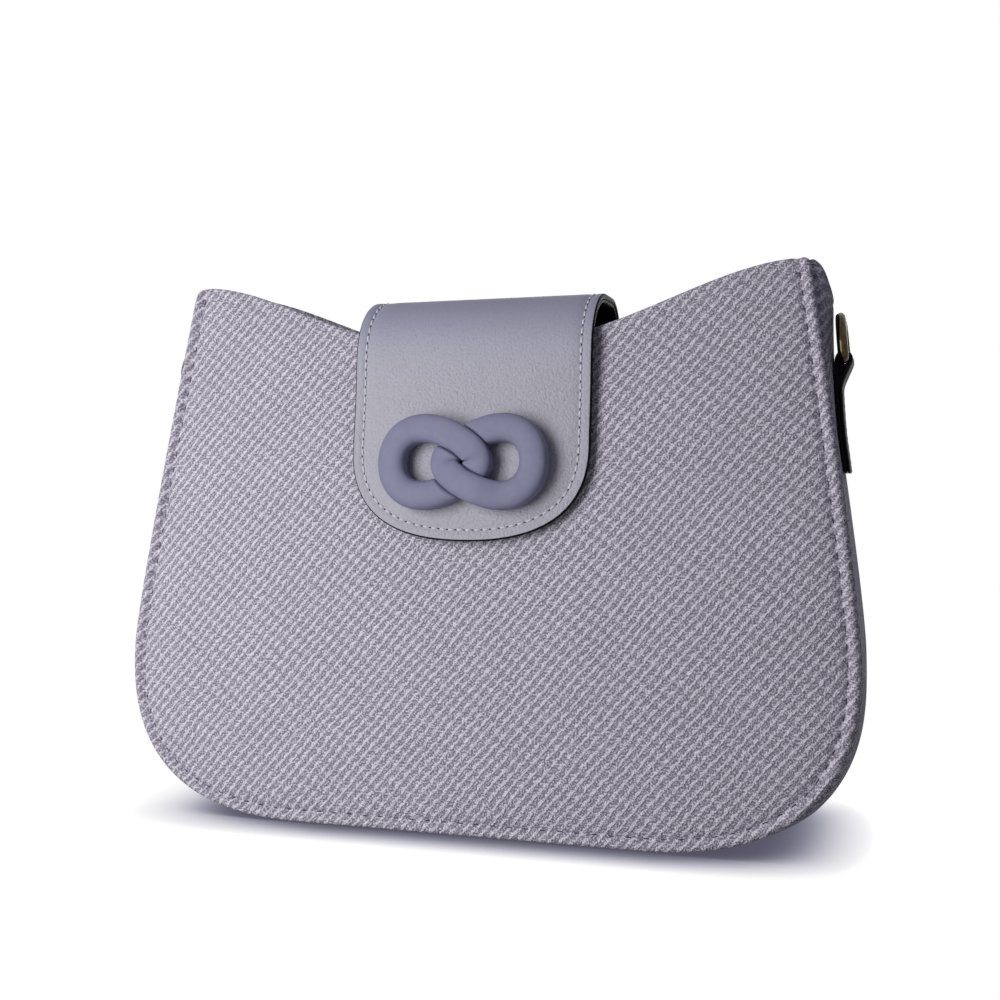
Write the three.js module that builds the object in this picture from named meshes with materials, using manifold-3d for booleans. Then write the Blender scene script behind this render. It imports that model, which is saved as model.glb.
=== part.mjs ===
// Half moon bag with a flap, in millimetres: +Z up, the front looks along -Y, the origin is in the middle
// of the base. Two sloping panels and a gusset strip make the body, narrow at the mouth and deep at the base.
// The flap is sewn to the back, arches over the mouth and snaps to the front. It carries two linked rings.
// A leather tab at each side holds a D-ring.
import * as THREE from "three";
import { mergeVertices } from "three/addons/utils/BufferGeometryUtils.js";
import Module from "manifold-3d";

// Body outline, drawn in the plane of a panel
const BAG_W = 270; // widest, across the lower corners
const PANEL_H = 201.5; // base to mouth corner, up the slope
const BASE_W = 128; // straight run of the base
const WIDEST_H = 62; // height of the widest place
const SIDE_UPRIGHT = 19; // handle that holds the side upright above the widest place
const MOUTH_W = 235; // between the mouth corners
const SCOOP = 28.5; // dip of the mouth in the middle
const FULLNESS = 0.66; // handle share of a round corner, 0.55 being a circle
const MOUTH_LEVEL = 0.3; // handle share where the mouth levels out at its corner
const MOUTH_ROUND = 0.45; // handle share at the bottom of the scoop

// Body depth and gusset form
const BASE_D = 80; // between the outer faces of the panels at the base
const TOP_D = 30; // the same at the mouth corners
const GUSSET_FREE = 140; // above this height the gusset is slack
const GUSSET_BULGE = 6.9; // how far it swells out at the mouth on the right
const GUSSET_TUCK = 5; // how far it is tucked in at the mouth on the left
const GUSSET_DIP = 13; // how far its middle hangs below the mouth corners
const BULGE_POWER = 1.4; // how gradually the swelling grows with height
const DIP_POWER = 2; // how gradually the hanging grows with height
const BULGE_ROUND = 0.6; // how full the swelling is across the strip, 1 being a parabola
const DIP_ROUND = 1.5; // how pointed the hanging and the tuck are across the strip, 1 being a parabola

// Sewn layers
const GAP = 0.3; // clearance between neighbouring pieces
const FABRIC = 2; // woven fabric with its foam backing
const BOARD = 1.2; // stiffener
const LINING = 0.8;
const LINING_SLACK = 1.5; // room between stiffener and panel lining
const STIFFENER_INSET = 3; // from the fabric edge
const STIFFENER_DROP = 10; // below the mouth edge
const LINING_DROP = 2; // below the mouth edge
const LINING_ROOM = 1.3; // between panel lining and gusset lining, clear of the tuck
const PIPE_R = 2; // piping round the seams
const PIPE_PROUD = 0.5; // how far it stands in front of the panel

// Flap
const FLAP_W = 89;
const FLAP_TIP_H = 102.6; // height of the tip up the front slope
const FLAP_ROUND = 33.2; // height of the round end
const FLAP_TIP = 2; // straight run of the tip
const FLAP_ANCHOR = 42; // length sewn to the back
const ANCHOR_ROUND = 14; // round corners of the sewn end
const FOLD_OVER = 1.2; // the fold above the mouth edge of the back
const ARCH_BACK_R = 10.5; // bend over the back edge, inside
const ARCH_FRONT_R = 21; // bend down to the front, inside
const FLAP_LEATHER = 1;
const FLAP_BOARD = 0.6;
const FLAP_LINING = 1;
const FLAP_BOARD_INSET = 6;

// Linked rings on the flap
const LINK_W = 42.6;
const LINK_H = 34.1;
const LINK_TUBE = 10.2; // width of the ring's section
const LINK_T = 8; // its height above the flap
const LINK_PITCH = 20.1; // between the ring centres
const LINK_EGG = 0.33; // how much a ring narrows towards its inner end, 0 being an ellipse
const LINK_SQUARE = 2.6; // how square its section is, 2 being an ellipse
const LINK_UP = 27.6; // ring centres above the flap's tip
const CROSS_UNDER = 4; // height of the strand that dives under
const CROSS_OVER = 4.8; // height of the strand that passes over
const CROSS_HOLD = 22; // degrees to each side of a crossing where the strand keeps that height
const CROSS_EASE = 62; // degrees to each side where it is back to its full section
const SCREW_R = 1.1;
const SCREW_HEAD_R = 2.6;
const SCREW_GRIP = 4; // depth of the screw in the ring
const SCREW_TURN = 120; // degrees round the ring, from its inner end

// Magnetic snap behind the flap
const SNAP_R = 9;
const SNAP_UP = 22; // above the flap's tip
const SOCKET_T = 2.6;
const SOCKET_WALL = 0.5;
const STUD_T = 0.9;
const STUD_R = 3; // boss that enters the socket
const SHANK_R = 2;
const WASHER_R = 5.5;
const WASHER_T = 0.8;

// Strap tabs and D-rings
const TAB_W = 18;
const TAB_STRAP = 1.2; // leather thickness
const TAB_DROP = 34.2; // from the mouth corners down to the loop's centre
const TAB_LENGTH = 39.2; // from the loop's centre to the lower end
const TAB_NECK = 9; // from the loop down to the flat double strap
const TAB_WRAP = 40; // degrees below level where the strap leaves the outside of the loop
const WIRE_R = 1.8;
const RING_W = 24; // between wire centres
const RING_RISE = 15.1; // from the bar to the top of the bow, between wire centres
const RING_CORNER = 2.3;
const RING_LEAN_RIGHT = 5; // degrees, towards the gusset
const RING_LEAN_LEFT = 14;

// Facets
const CORNER_STEPS = 9;
const SIDE_STEPS = 6;
const MOUTH_STEPS = 10;
const GUSSET_COLUMNS = 4;
const PIPE_SIDES = 8;
const ARCH_STEPS = 8;
const TIP_STEPS = 9;
const LINK_STEPS = 48;
const LINK_SIDES = 12;
const TURN_STEPS = 20;
const TAB_STEPS = 8;
const RING_STEPS = 32;
const WELD = 1e-4; // vertices closer than this are one

const V2 = (x, y) => new THREE.Vector2(x, y);
const V3 = (x, y, z) => new THREE.Vector3(x, y, z);
const radians = THREE.MathUtils.degToRad;

const LEAN = Math.asin((BASE_D - TOP_D) / 2 / PANEL_H);
const SLOPE_UP = Math.cos(LEAN);
const SLOPE_IN = Math.sin(LEAN);

// Heights of the layers over the outer face of a panel, inwards being negative
const STIFFENER_W = -(FABRIC + GAP);
const WASHER_W = STIFFENER_W - BOARD - GAP;
const LINING_W = STIFFENER_W - BOARD - LINING_SLACK;
const SOCKET_W = GAP;
const STUD_W = SOCKET_W + SOCKET_T + GAP;
const STANDOFF = STUD_W + STUD_T + GAP; // the flap's inner face in front of the panel

// Heights of the layers over the inner face of the flap
const FLAP_BOARD_W = FLAP_LINING + GAP;
const FLAP_LEATHER_W = FLAP_BOARD_W + FLAP_BOARD + GAP;
const FLAP_T = FLAP_LEATHER_W + FLAP_LEATHER;

const wasm = await Module();
wasm.setup();

const bag = new THREE.Group();
bag.name = "half_moon_bag";

const looks = {
  fabric: { color: 0xa5a3b4, roughness: 0.9, metalness: 0 },
  leather: { color: 0xb2b2be, roughness: 0.55, metalness: 0 },
  darkLeather: { color: 0x17171d, roughness: 0.6, metalness: 0 },
  lining: { color: 0x22222c, roughness: 0.85, metalness: 0 },
  board: { color: 0x8f8676, roughness: 0.9, metalness: 0 },
  resin: { color: 0x8284a0, roughness: 0.6, metalness: 0 },
  steel: { color: 0x9a9a9c, roughness: 0.35, metalness: 1 },
  magnet: { color: 0x4a4a4e, roughness: 0.5, metalness: 0.8 },
  brass: { color: 0x6b5b3c, roughness: 0.3, metalness: 1 },
};

// Adds one named piece to a group.
function piece(parent, name, geometry, look) {
  const mesh = new THREE.Mesh(geometry, new THREE.MeshStandardMaterial(looks[look]));
  mesh.name = name;
  parent.add(mesh);
  return mesh;
}

// Group whose XY plane is the outer face of a panel: X across, Y up the slope, Z out of the bag.
function slopedFace(turn) {
  const side = new THREE.Group();
  const face = new THREE.Group();
  side.rotation.z = turn;
  face.position.y = -BASE_D / 2;
  face.rotation.x = Math.PI / 2 - LEAN;
  side.add(face);
  bag.add(side);
  side.updateMatrixWorld(true);
  return face;
}
const front = slopedFace(0);
const back = slopedFace(Math.PI);

function geometryOf(points, triangles) {
  const geometry = new THREE.BufferGeometry();
  geometry.setAttribute("position", new THREE.Float32BufferAttribute(points.flatMap((p) => p.toArray()), 3));
  geometry.setIndex(triangles);
  return geometry;
}

// Closed solid through a row of sections, each a loop of points that runs round the way of travel.
// A ring joins its last section to its first, any other solid has a fan over each end.
function loft(sections, ring = false) {
  const sides = sections[0].length;
  const points = sections.flat();
  const triangles = [];
  const quad = (a, b, c, d) => triangles.push(a, b, c, a, c, d);
  const spans = ring ? sections.length : sections.length - 1;
  for (let i = 0; i < spans; i++) {
    const here = i * sides;
    const next = ((i + 1) % sections.length) * sides;
    for (let j = 0; j < sides; j++) {
      const k = (j + 1) % sides;
      quad(here + j, here + k, next + k, next + j);
    }
  }
  const fan = (section, first, flip) => {
    const middle = points.length;
    const sum = section.reduce((total, p) => total.add(p), V3(0, 0, 0));
    points.push(sum.divideScalar(sides));
    for (let j = 0; j < sides; j++) {
      const edge = [first + j, first + ((j + 1) % sides)];
      triangles.push(middle, ...(flip ? edge.reverse() : edge));
    }
  };
  if (!ring) {
    fan(sections[0], 0, true);
    fan(sections.at(-1), (sections.length - 1) * sides, false);
  }
  return geometryOf(points, triangles);
}

// Closed sheet between two grids of points, rows by columns, the first one facing out.
function sheet(outer, inner) {
  const rows = outer.length;
  const columns = outer[0].length;
  const points = [...outer.flat(), ...inner.flat()];
  const triangles = [];
  const quad = (a, b, c, d) => triangles.push(a, b, c, a, c, d);
  const o = (i, j) => i * columns + j;
  const n = (i, j) => rows * columns + i * columns + j;
  for (let i = 0; i < rows - 1; i++) {
    for (let j = 0; j < columns - 1; j++) {
      quad(o(i, j), o(i, j + 1), o(i + 1, j + 1), o(i + 1, j));
      quad(n(i, j), n(i + 1, j), n(i + 1, j + 1), n(i, j + 1));
    }
    quad(o(i, 0), o(i + 1, 0), n(i + 1, 0), n(i, 0));
    quad(o(i + 1, columns - 1), o(i, columns - 1), n(i, columns - 1), n(i + 1, columns - 1));
  }
  for (let j = 0; j < columns - 1; j++) {
    quad(o(0, j + 1), o(0, j), n(0, j), n(0, j + 1));
    quad(o(rows - 1, j), o(rows - 1, j + 1), n(rows - 1, j + 1), n(rows - 1, j));
  }
  return geometryOf(points, triangles);
}

// Solid of revolution about Z from points of radius and height.
function turned(profile) {
  const points = profile.map(([radius, height]) => V2(radius, height));
  return new THREE.LatheGeometry(points, TURN_STEPS).rotateX(Math.PI / 2);
}

// Flat ring about Z, resting at a height.
function washer(inner, outer, height, thick) {
  const top = height + thick;
  return turned([[inner, height], [outer, height], [outer, top], [inner, top], [inner, height]]);
}

// Plain pin about Z between two heights, used to cut holes.
function pin(radius, low, high) {
  return turned([[0, low], [radius, low], [radius, high], [0, high]]);
}

function solidOf(geometry) {
  const bare = geometry.clone();
  bare.deleteAttribute("normal");
  bare.deleteAttribute("uv");
  const merged = mergeVertices(bare, WELD);
  const vertProperties = merged.attributes.position.array;
  const triVerts = new Uint32Array(merged.index.array);
  return new wasm.Manifold(new wasm.Mesh({ numProp: 3, vertProperties, triVerts }));
}

// The geometry less each tool.
function cut(geometry, tools) {
  let solid = solidOf(geometry);
  for (const tool of tools) solid = solid.subtract(solidOf(tool));
  const { vertProperties, triVerts } = solid.getMesh();
  const result = new THREE.BufferGeometry();
  result.setAttribute("position", new THREE.BufferAttribute(vertProperties, 3));
  result.setIndex(new THREE.BufferAttribute(triVerts, 1));
  return result;
}

// Share of the side curve at a height up the slope, for the curve from the widest place to the mouth.
function sideShare(height) {
  const bend = PANEL_H - WIDEST_H - 2 * SIDE_UPRIGHT;
  return (Math.sqrt(SIDE_UPRIGHT ** 2 + bend * (height - WIDEST_H)) - SIDE_UPRIGHT) / bend;
}

const cornerCurve = new THREE.CubicBezierCurve(
  V2(BASE_W / 2, 0),
  V2(BASE_W / 2 + FULLNESS * (BAG_W - BASE_W) / 2, 0),
  V2(BAG_W / 2, WIDEST_H * (1 - FULLNESS)),
  V2(BAG_W / 2, WIDEST_H),
);
const sideCurve = new THREE.QuadraticBezierCurve(
  V2(BAG_W / 2, WIDEST_H),
  V2(BAG_W / 2, WIDEST_H + SIDE_UPRIGHT),
  V2(MOUTH_W / 2, PANEL_H),
);

// A place on the seam outline with the direction that looks out of the bag.
function station(curve, share) {
  const along = curve.getTangent(share);
  return { at: curve.getPoint(share), out: V2(along.y, -along.x) };
}

// Stations down the left side, along the base and up the right side, ending below the mouth by the drop.
// Every layer has a station where another one ends, so that neighbouring layers share their facets.
function seam(drop) {
  const right = [];
  const ends = [STIFFENER_DROP, LINING_DROP, 0].filter((end) => end >= drop);
  const last = sideShare(PANEL_H - STIFFENER_DROP);
  for (let i = 0; i < CORNER_STEPS; i++) right.push(station(cornerCurve, i / CORNER_STEPS));
  for (let i = 0; i < SIDE_STEPS; i++) right.push(station(sideCurve, (last * i) / SIDE_STEPS));
  for (const end of ends) right.push(station(sideCurve, sideShare(PANEL_H - end)));
  const mirror = ({ at, out }) => ({ at: V2(-at.x, at.y), out: V2(-out.x, out.y) });
  return [...right.map(mirror).reverse(), ...right];
}

// Right half of the mouth edge, from the seam's corner to the middle, lowered by the drop.
function mouthCurve(drop) {
  const corner = V2(MOUTH_W / 2, PANEL_H - drop);
  const low = corner.y - SCOOP;
  const level = V2(corner.x * (1 - MOUTH_LEVEL), corner.y);
  return new THREE.CubicBezierCurve(corner, level, V2(corner.x * MOUTH_ROUND, low), V2(0, low));
}

// Outline of a panel layer, inset from the seam line and lowered at the mouth.
function panelShape(inset, drop) {
  const edge = seam(drop).map(({ at, out }) => at.clone().addScaledVector(out, -inset));
  const right = mouthCurve(drop).getPoints(MOUTH_STEPS).filter((p) => p.x < edge.at(-1).x);
  const left = right.slice(0, -1).map((p) => V2(-p.x, p.y)).reverse();
  return new THREE.Shape([...edge, ...right, ...left]);
}

// Height of a panel's mouth edge at a distance from the middle, read off the facets of its outline.
function mouthHeight(x) {
  const edge = panelShape(FABRIC_INSET, 0).getPoints().filter((p) => p.y > PANEL_H - SCOOP - GAP);
  const outer = edge.filter((p) => p.x > x).reduce((a, b) => (b.x < a.x ? b : a));
  const inner = edge.filter((p) => p.x <= x).reduce((a, b) => (b.x > a.x ? b : a));
  return THREE.MathUtils.mapLinear(x, inner.x, outer.x, inner.y, outer.y);
}

// Flat layer of a panel whose outer face lies at a height over the panel's face.
function panelLayer(shape, top, thick) {
  return new THREE.ExtrudeGeometry(shape, { depth: thick, bevelEnabled: false }).translate(0, 0, top - thick);
}

const FABRIC_INSET = 2 * (PIPE_R + GAP);
const GUSSET_LINING_DEPTH = FABRIC + GAP + BOARD + GAP;
const LINING_SINK = (LINING - LINING_W) * Math.tan(LEAN); // the slope lowers what lies deeper
const LINING_INSET = GUSSET_LINING_DEPTH + LINING + LINING_ROOM + LINING_SINK;
const SNAP_HEIGHT = FLAP_TIP_H + SNAP_UP;

// Panels: fabric, stiffener and lining. The front ones have a hole for the shank of the snap.
function panel(face, side, withSnap) {
  const fabric = panelShape(FABRIC_INSET, 0);
  const stiffener = panelShape(FABRIC_INSET + STIFFENER_INSET, STIFFENER_DROP);
  const lining = panelShape(LINING_INSET, LINING_DROP);
  if (withSnap) {
    const hole = new THREE.Path().absarc(0, SNAP_HEIGHT, SHANK_R + GAP, 0, 2 * Math.PI);
    fabric.holes.push(hole);
    stiffener.holes.push(hole);
  }
  piece(face, side + "_panel", panelLayer(fabric, 0, FABRIC), "fabric");
  piece(face, side + "_stiffener", panelLayer(stiffener, STIFFENER_W, BOARD), "board");
  piece(face, side + "_lining", panelLayer(lining, LINING_W, LINING), "lining");
}
panel(front, "front", true);
panel(back, "back", false);

// Piping round the seam of a panel, down one side, along the base and up the other.
function piping(face, name) {
  const sections = seam(0).map(({ at, out }) => {
    const middle = at.clone().addScaledVector(out, -(GAP + PIPE_R));
    return Array.from({ length: PIPE_SIDES }, (_, i) => {
      const angle = (2 * Math.PI * (i + 0.5)) / PIPE_SIDES;
      const across = middle.clone().addScaledVector(out, PIPE_R * Math.cos(angle));
      return V3(across.x, across.y, PIPE_PROUD - PIPE_R + PIPE_R * Math.sin(angle));
    }).reverse();
  });
  piece(face, name, loft(sections), "fabric");
}
piping(front, "front_piping");
piping(back, "back_piping");

// A point of the gusset at a seam station: across runs from -1 at the front seam to 1 at the back seam.
// The slack top swells out on the right, is tucked in on the left and hangs down in the middle.
const GUSSET_EDGE = 2 * PIPE_R - PIPE_PROUD + GAP; // the strip starts behind the piping
const gussetHalf = (height) => BASE_D / 2 - height * SLOPE_IN - GUSSET_EDGE / SLOPE_UP;
function gussetPoint({ at, out }, across, depth) {
  const slack = Math.max(0, (at.y - GUSSET_FREE) / (PANEL_H - GUSSET_FREE));
  const middle = 1 - across ** 2;
  const bulge = at.x > 0 ? GUSSET_BULGE * middle ** BULGE_ROUND : -GUSSET_TUCK * middle ** DIP_ROUND;
  const swell = bulge * slack ** BULGE_POWER - depth;
  const dip = GUSSET_DIP * slack ** DIP_POWER * middle ** DIP_ROUND;
  const height = (at.y + out.y * swell) * SLOPE_UP - dip;
  return V3(at.x + out.x * swell, across * gussetHalf(at.y), height);
}

// Rows of gusset points at a depth under the outer face, from mouth corner to mouth corner.
function gussetGrid(depth, drop) {
  return seam(drop).map((place) =>
    Array.from({ length: GUSSET_COLUMNS + 1 }, (_, j) =>
      gussetPoint(place, (2 * j) / GUSSET_COLUMNS - 1, depth),
    ),
  );
}

// One layer of the gusset strip.
function gussetLayer(name, depth, thick, drop, look) {
  piece(bag, name, sheet(gussetGrid(depth, drop), gussetGrid(depth + thick, drop)), look);
}
gussetLayer("gusset", 0, FABRIC, 0, "fabric");
gussetLayer("gusset_stiffener", FABRIC + GAP, BOARD, STIFFENER_DROP, "board");
gussetLayer("gusset_lining", GUSSET_LINING_DEPTH, LINING, LINING_DROP, "lining");

// Inner face of the flap from the fold at the back to the front, in Y and Z: each run has a centre or start,
// the angle of its outward normal and its length. The back bend and the front bend share one top height.
const FOLD_H = mouthHeight(FLAP_W / 2) + FOLD_OVER;
const FOLD_Z = FOLD_H * SLOPE_UP + GAP * SLOPE_IN;
const FOLD_Y = BASE_D / 2 - FOLD_H * SLOPE_IN + GAP * SLOPE_UP;
const ARCH_TOP = FOLD_Z + ARCH_BACK_R * (1 - SLOPE_IN);
const BACK_CENTRE = V2(FOLD_Y - ARCH_BACK_R * SLOPE_UP, ARCH_TOP - ARCH_BACK_R);
const FRONT_Z = ARCH_TOP - ARCH_FRONT_R;
const FRONT_Y = (ARCH_FRONT_R - STANDOFF + FRONT_Z * SLOPE_IN) / SLOPE_UP - BASE_D / 2;
const FRONT_CENTRE = V2(FRONT_Y, FRONT_Z);
const QUARTER = Math.PI / 2 - LEAN;
const BACK_BEND = ARCH_BACK_R * QUARTER;
const TOP_RUN = BACK_CENTRE.x - FRONT_CENTRE.x;
const FRONT_BEND = BACK_BEND + TOP_RUN + ARCH_FRONT_R * QUARTER; // length at the end of the front bend
const FRONT_BEND_H = (FRONT_Y + BASE_D / 2) * SLOPE_IN + FRONT_Z * SLOPE_UP; // its height up the front slope
const FLAP_END = FRONT_BEND + FRONT_BEND_H - FLAP_TIP_H;

// Place on the flap: length from the fold (down the back is negative), height over the inner face.
function flapPoint(x, length, height) {
  const onTop = THREE.MathUtils.clamp(length - BACK_BEND, 0, TOP_RUN);
  const inBack = THREE.MathUtils.clamp(length, 0, BACK_BEND);
  const inFront = THREE.MathUtils.clamp(length - BACK_BEND - TOP_RUN, 0, FRONT_BEND - BACK_BEND - TOP_RUN);
  const straight = Math.min(length, 0) + Math.max(length - FRONT_BEND, 0);
  const angle = LEAN + inBack / ARCH_BACK_R + inFront / ARCH_FRONT_R;
  const centre = length < BACK_BEND + TOP_RUN ? BACK_CENTRE : FRONT_CENTRE;
  const radius = (length < BACK_BEND + TOP_RUN ? ARCH_BACK_R : ARCH_FRONT_R) + height;
  const shift = length < BACK_BEND + TOP_RUN ? onTop : 0;
  const y = centre.x - shift + radius * Math.cos(angle) - straight * Math.sin(angle);
  const z = centre.y + radius * Math.sin(angle) + straight * Math.cos(angle);
  return V3(x, y, z);
}

// Layer of the flap through stations of length and half width.
function flapLayer(stations, low, thick) {
  const sections = stations.map(({ length, half }) => [
    flapPoint(-half, length, low),
    flapPoint(half, length, low),
    flapPoint(half, length, low + thick),
    flapPoint(-half, length, low + thick),
  ]);
  return loft(sections);
}

// Stations of a rounded end: from full width, round to a straight tip.
function roundEnd(half, tipHalf, tip, rise, way) {
  const curve = new THREE.CubicBezierCurve(
    V2(half, rise),
    V2(half, rise * (1 - FULLNESS)),
    V2(tipHalf + FULLNESS * (half - tipHalf), 0),
    V2(tipHalf, 0),
  );
  return curve.getPoints(TIP_STEPS).map((p) => ({ length: tip - way * p.y, half: p.x }));
}

// Stations over the arch and down the front, inset from the flap's edge.
function flapStations(inset) {
  const half = FLAP_W / 2 - inset;
  const bend = (from, to) =>
    Array.from({ length: ARCH_STEPS + 1 }, (_, i) => {
      const length = THREE.MathUtils.lerp(from, to, i / ARCH_STEPS);
      return { length, half };
    });
  const arch = [...bend(GAP / 2 + inset, BACK_BEND), ...bend(BACK_BEND + TOP_RUN, FRONT_BEND)];
  return [...arch, ...roundEnd(half, FLAP_TIP / 2, FLAP_END - inset, FLAP_ROUND - inset, 1)];
}

// Stations down the back, from the fold to the round end.
function anchorStations() {
  const half = FLAP_W / 2;
  const end = roundEnd(half, half - ANCHOR_ROUND, -FLAP_ANCHOR, ANCHOR_ROUND, -1);
  return [...end.reverse(), { length: -GAP / 2, half }];
}

const LINK_CENTRE = FLAP_TIP_H + LINK_UP;
const LINK_ACROSS = (LINK_W - LINK_TUBE) / 2;
const EGG_COS = (-2 * LINK_EGG) / (1 + Math.sqrt(1 + 8 * LINK_EGG ** 2)); // at the angle of the tallest place
const EGG_RISE = Math.sqrt(1 - EGG_COS ** 2) * (1 - LINK_EGG * EGG_COS);
const LINK_TALL = (LINK_H - LINK_TUBE) / 2 / EGG_RISE;
const FLAP_FACE = STANDOFF + FLAP_T; // outer face of the flap over the front panel
const LINK_FOOT = FLAP_FACE + GAP;

// Place on the centreline of the left ring about the middle of the pair, with the direction that looks out of
// the ring. The angle starts at the inner end.
function linkPlace(angle) {
  const narrowing = 1 - LINK_EGG * Math.cos(angle);
  const rise = LINK_TALL * (Math.cos(angle) * narrowing + LINK_EGG * Math.sin(angle) ** 2);
  const at = V2(LINK_ACROSS * Math.cos(angle) - LINK_PITCH / 2, LINK_TALL * Math.sin(angle) * narrowing);
  return { at, out: V2(rise, LINK_ACROSS * Math.sin(angle)).normalize() };
}

// Places of the ring screws about the middle of the pair: two on the outer half of each ring.
const screws = ["left", "right"].flatMap((side) =>
  ["upper", "lower"].map((level) => {
    const { at } = linkPlace(radians(level === "upper" ? SCREW_TURN : -SCREW_TURN));
    return { side, level, x: side === "left" ? at.x : -at.x, y: at.y };
  }),
);

// Pin along the normal of the front panel, in the frame of the bag.
function frontPin(x, y, radius, low, high) {
  return pin(radius, low, high).translate(x, y, 0).applyMatrix4(front.matrixWorld);
}

// Flap: leather outside, a board inside and a lining, with the holes for the snap and the screws.
function flap() {
  const over = FLAP_FACE + GAP;
  const through = (radius) => screws.map(({ x, y }) => frontPin(x, LINK_CENTRE + y, radius, 0, over));
  const leather = flapLayer(flapStations(0), FLAP_LEATHER_W, FLAP_LEATHER);
  const board = flapLayer(flapStations(FLAP_BOARD_INSET), FLAP_BOARD_W, FLAP_BOARD);
  const lining = flapLayer(flapStations(0), 0, FLAP_LINING);
  const snapHole = (radius) => frontPin(0, SNAP_HEIGHT, radius, 0, over);
  piece(bag, "flap_leather", cut(leather, through(SCREW_R + GAP)), "leather");
  piece(bag, "flap_board", cut(board, [...through(SCREW_HEAD_R + GAP), snapHole(WASHER_R + GAP)]), "board");
  piece(bag, "flap_lining", cut(lining, [snapHole(SHANK_R + GAP)]), "darkLeather");
  piece(bag, "flap_anchor", flapLayer(anchorStations(), 0, FLAP_T), "leather");
}
flap();

// 1 near the centre angle, easing to 0 away from it.
function nearness(angle, centre) {
  const away = Math.abs(Math.atan2(Math.sin(angle - centre), Math.cos(angle - centre)));
  return 1 - THREE.MathUtils.smoothstep(away, radians(CROSS_HOLD), radians(CROSS_EASE));
}

// Share of a rounded square's half width at an angle, from the cosine or sine of that angle.
function squared(share) {
  return Math.sign(share) * Math.abs(share) ** (2 / LINK_SQUARE);
}

// One of the two linked rings, egg-shaped: the left one passes over the other at the upper crossing and dives
// under it at the lower one. The right one is the same ring, turned half round about the middle.
function link(side) {
  const crossing = Math.acos(LINK_PITCH / 2 / LINK_ACROSS);
  const sections = Array.from({ length: LINK_STEPS }, (_, i) => {
    const angle = (2 * Math.PI * i) / LINK_STEPS;
    const { at, out } = linkPlace(angle);
    const raised = nearness(angle, crossing);
    const sunk = nearness(angle, -crossing);
    const low = raised * (CROSS_UNDER + GAP);
    const high = LINK_T + raised * (CROSS_UNDER + GAP + CROSS_OVER - LINK_T) - sunk * (LINK_T - CROSS_UNDER);
    return Array.from({ length: LINK_SIDES }, (_, j) => {
      const round = (2 * Math.PI * j) / LINK_SIDES;
      const across = at.clone().addScaledVector(out, (LINK_TUBE / 2) * squared(Math.cos(round)));
      return V3(across.x, across.y, (low + high) / 2 + ((high - low) / 2) * squared(Math.sin(round)));
    }).reverse();
  });
  const holes = screws
    .filter((screw) => screw.side === "left")
    .map(({ x, y }) => pin(SCREW_R + GAP, -GAP, SCREW_GRIP + GAP).translate(x, y, 0));
  const mesh = piece(front, "link_" + side, cut(loft(sections, true), holes), "resin");
  mesh.position.set(0, LINK_CENTRE, LINK_FOOT);
  mesh.rotation.z = side === "left" ? 0 : Math.PI;
}
link("left");
link("right");

// Screws from inside the flap, through the leather into the rings.
for (const { side, level, x, y } of screws) {
  const head = STANDOFF + FLAP_BOARD_W;
  const neck = head + FLAP_BOARD;
  const profile = [
    [0, head],
    [SCREW_HEAD_R, head],
    [SCREW_HEAD_R, neck],
    [SCREW_R, neck],
    [SCREW_R, LINK_FOOT + SCREW_GRIP],
    [0, LINK_FOOT + SCREW_GRIP],
  ];
  const screw = piece(front, "screw_" + side + "_" + level, turned(profile), "steel");
  screw.position.set(x, LINK_CENTRE + y, 0);
}

// Magnetic snap: a socket with a ring magnet on the front panel, a stud on the flap, a washer behind each.
function snap() {
  const socketTop = SOCKET_W + SOCKET_T;
  const hole = STUD_R + GAP;
  const socket = [
    [0, WASHER_W - WASHER_T],
    [SHANK_R, WASHER_W - WASHER_T],
    [SHANK_R, SOCKET_W],
    [SNAP_R, SOCKET_W],
    [SNAP_R, socketTop - SOCKET_WALL],
    [SNAP_R - SOCKET_WALL, socketTop],
    [hole, socketTop],
    [hole, socketTop - SOCKET_WALL],
    [SNAP_R - SOCKET_WALL, socketTop - SOCKET_WALL],
    [SNAP_R - SOCKET_WALL, SOCKET_W + SOCKET_WALL],
    [0, SOCKET_W + SOCKET_WALL],
  ];
  const pocket = SOCKET_W + SOCKET_WALL + GAP;
  const studTop = STANDOFF + FLAP_BOARD_W + FLAP_BOARD;
  const stud = [
    [0, pocket],
    [STUD_R, pocket],
    [STUD_R, STUD_W],
    [SNAP_R - SOCKET_WALL, STUD_W],
    [SNAP_R, STUD_W + SOCKET_WALL],
    [SNAP_R, STUD_W + STUD_T],
    [SHANK_R, STUD_W + STUD_T],
    [SHANK_R, studTop],
    [0, studTop],
  ];
  const magnetTop = socketTop - SOCKET_WALL - GAP;
  const magnet = washer(hole, SNAP_R - SOCKET_WALL - GAP, pocket, magnetTop - pocket);
  const bore = SHANK_R + GAP;
  const place = new THREE.Group();
  place.position.y = SNAP_HEIGHT;
  front.add(place);
  piece(place, "snap_socket", turned(socket), "steel");
  piece(place, "snap_magnet", magnet, "magnet");
  piece(place, "snap_socket_washer", washer(bore, WASHER_R, WASHER_W - WASHER_T, WASHER_T), "steel");
  piece(place, "snap_stud", turned(stud), "steel");
  piece(place, "snap_stud_washer", washer(bore, WASHER_R, STANDOFF + FLAP_BOARD_W, FLAP_BOARD), "steel");
}
snap();

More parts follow.
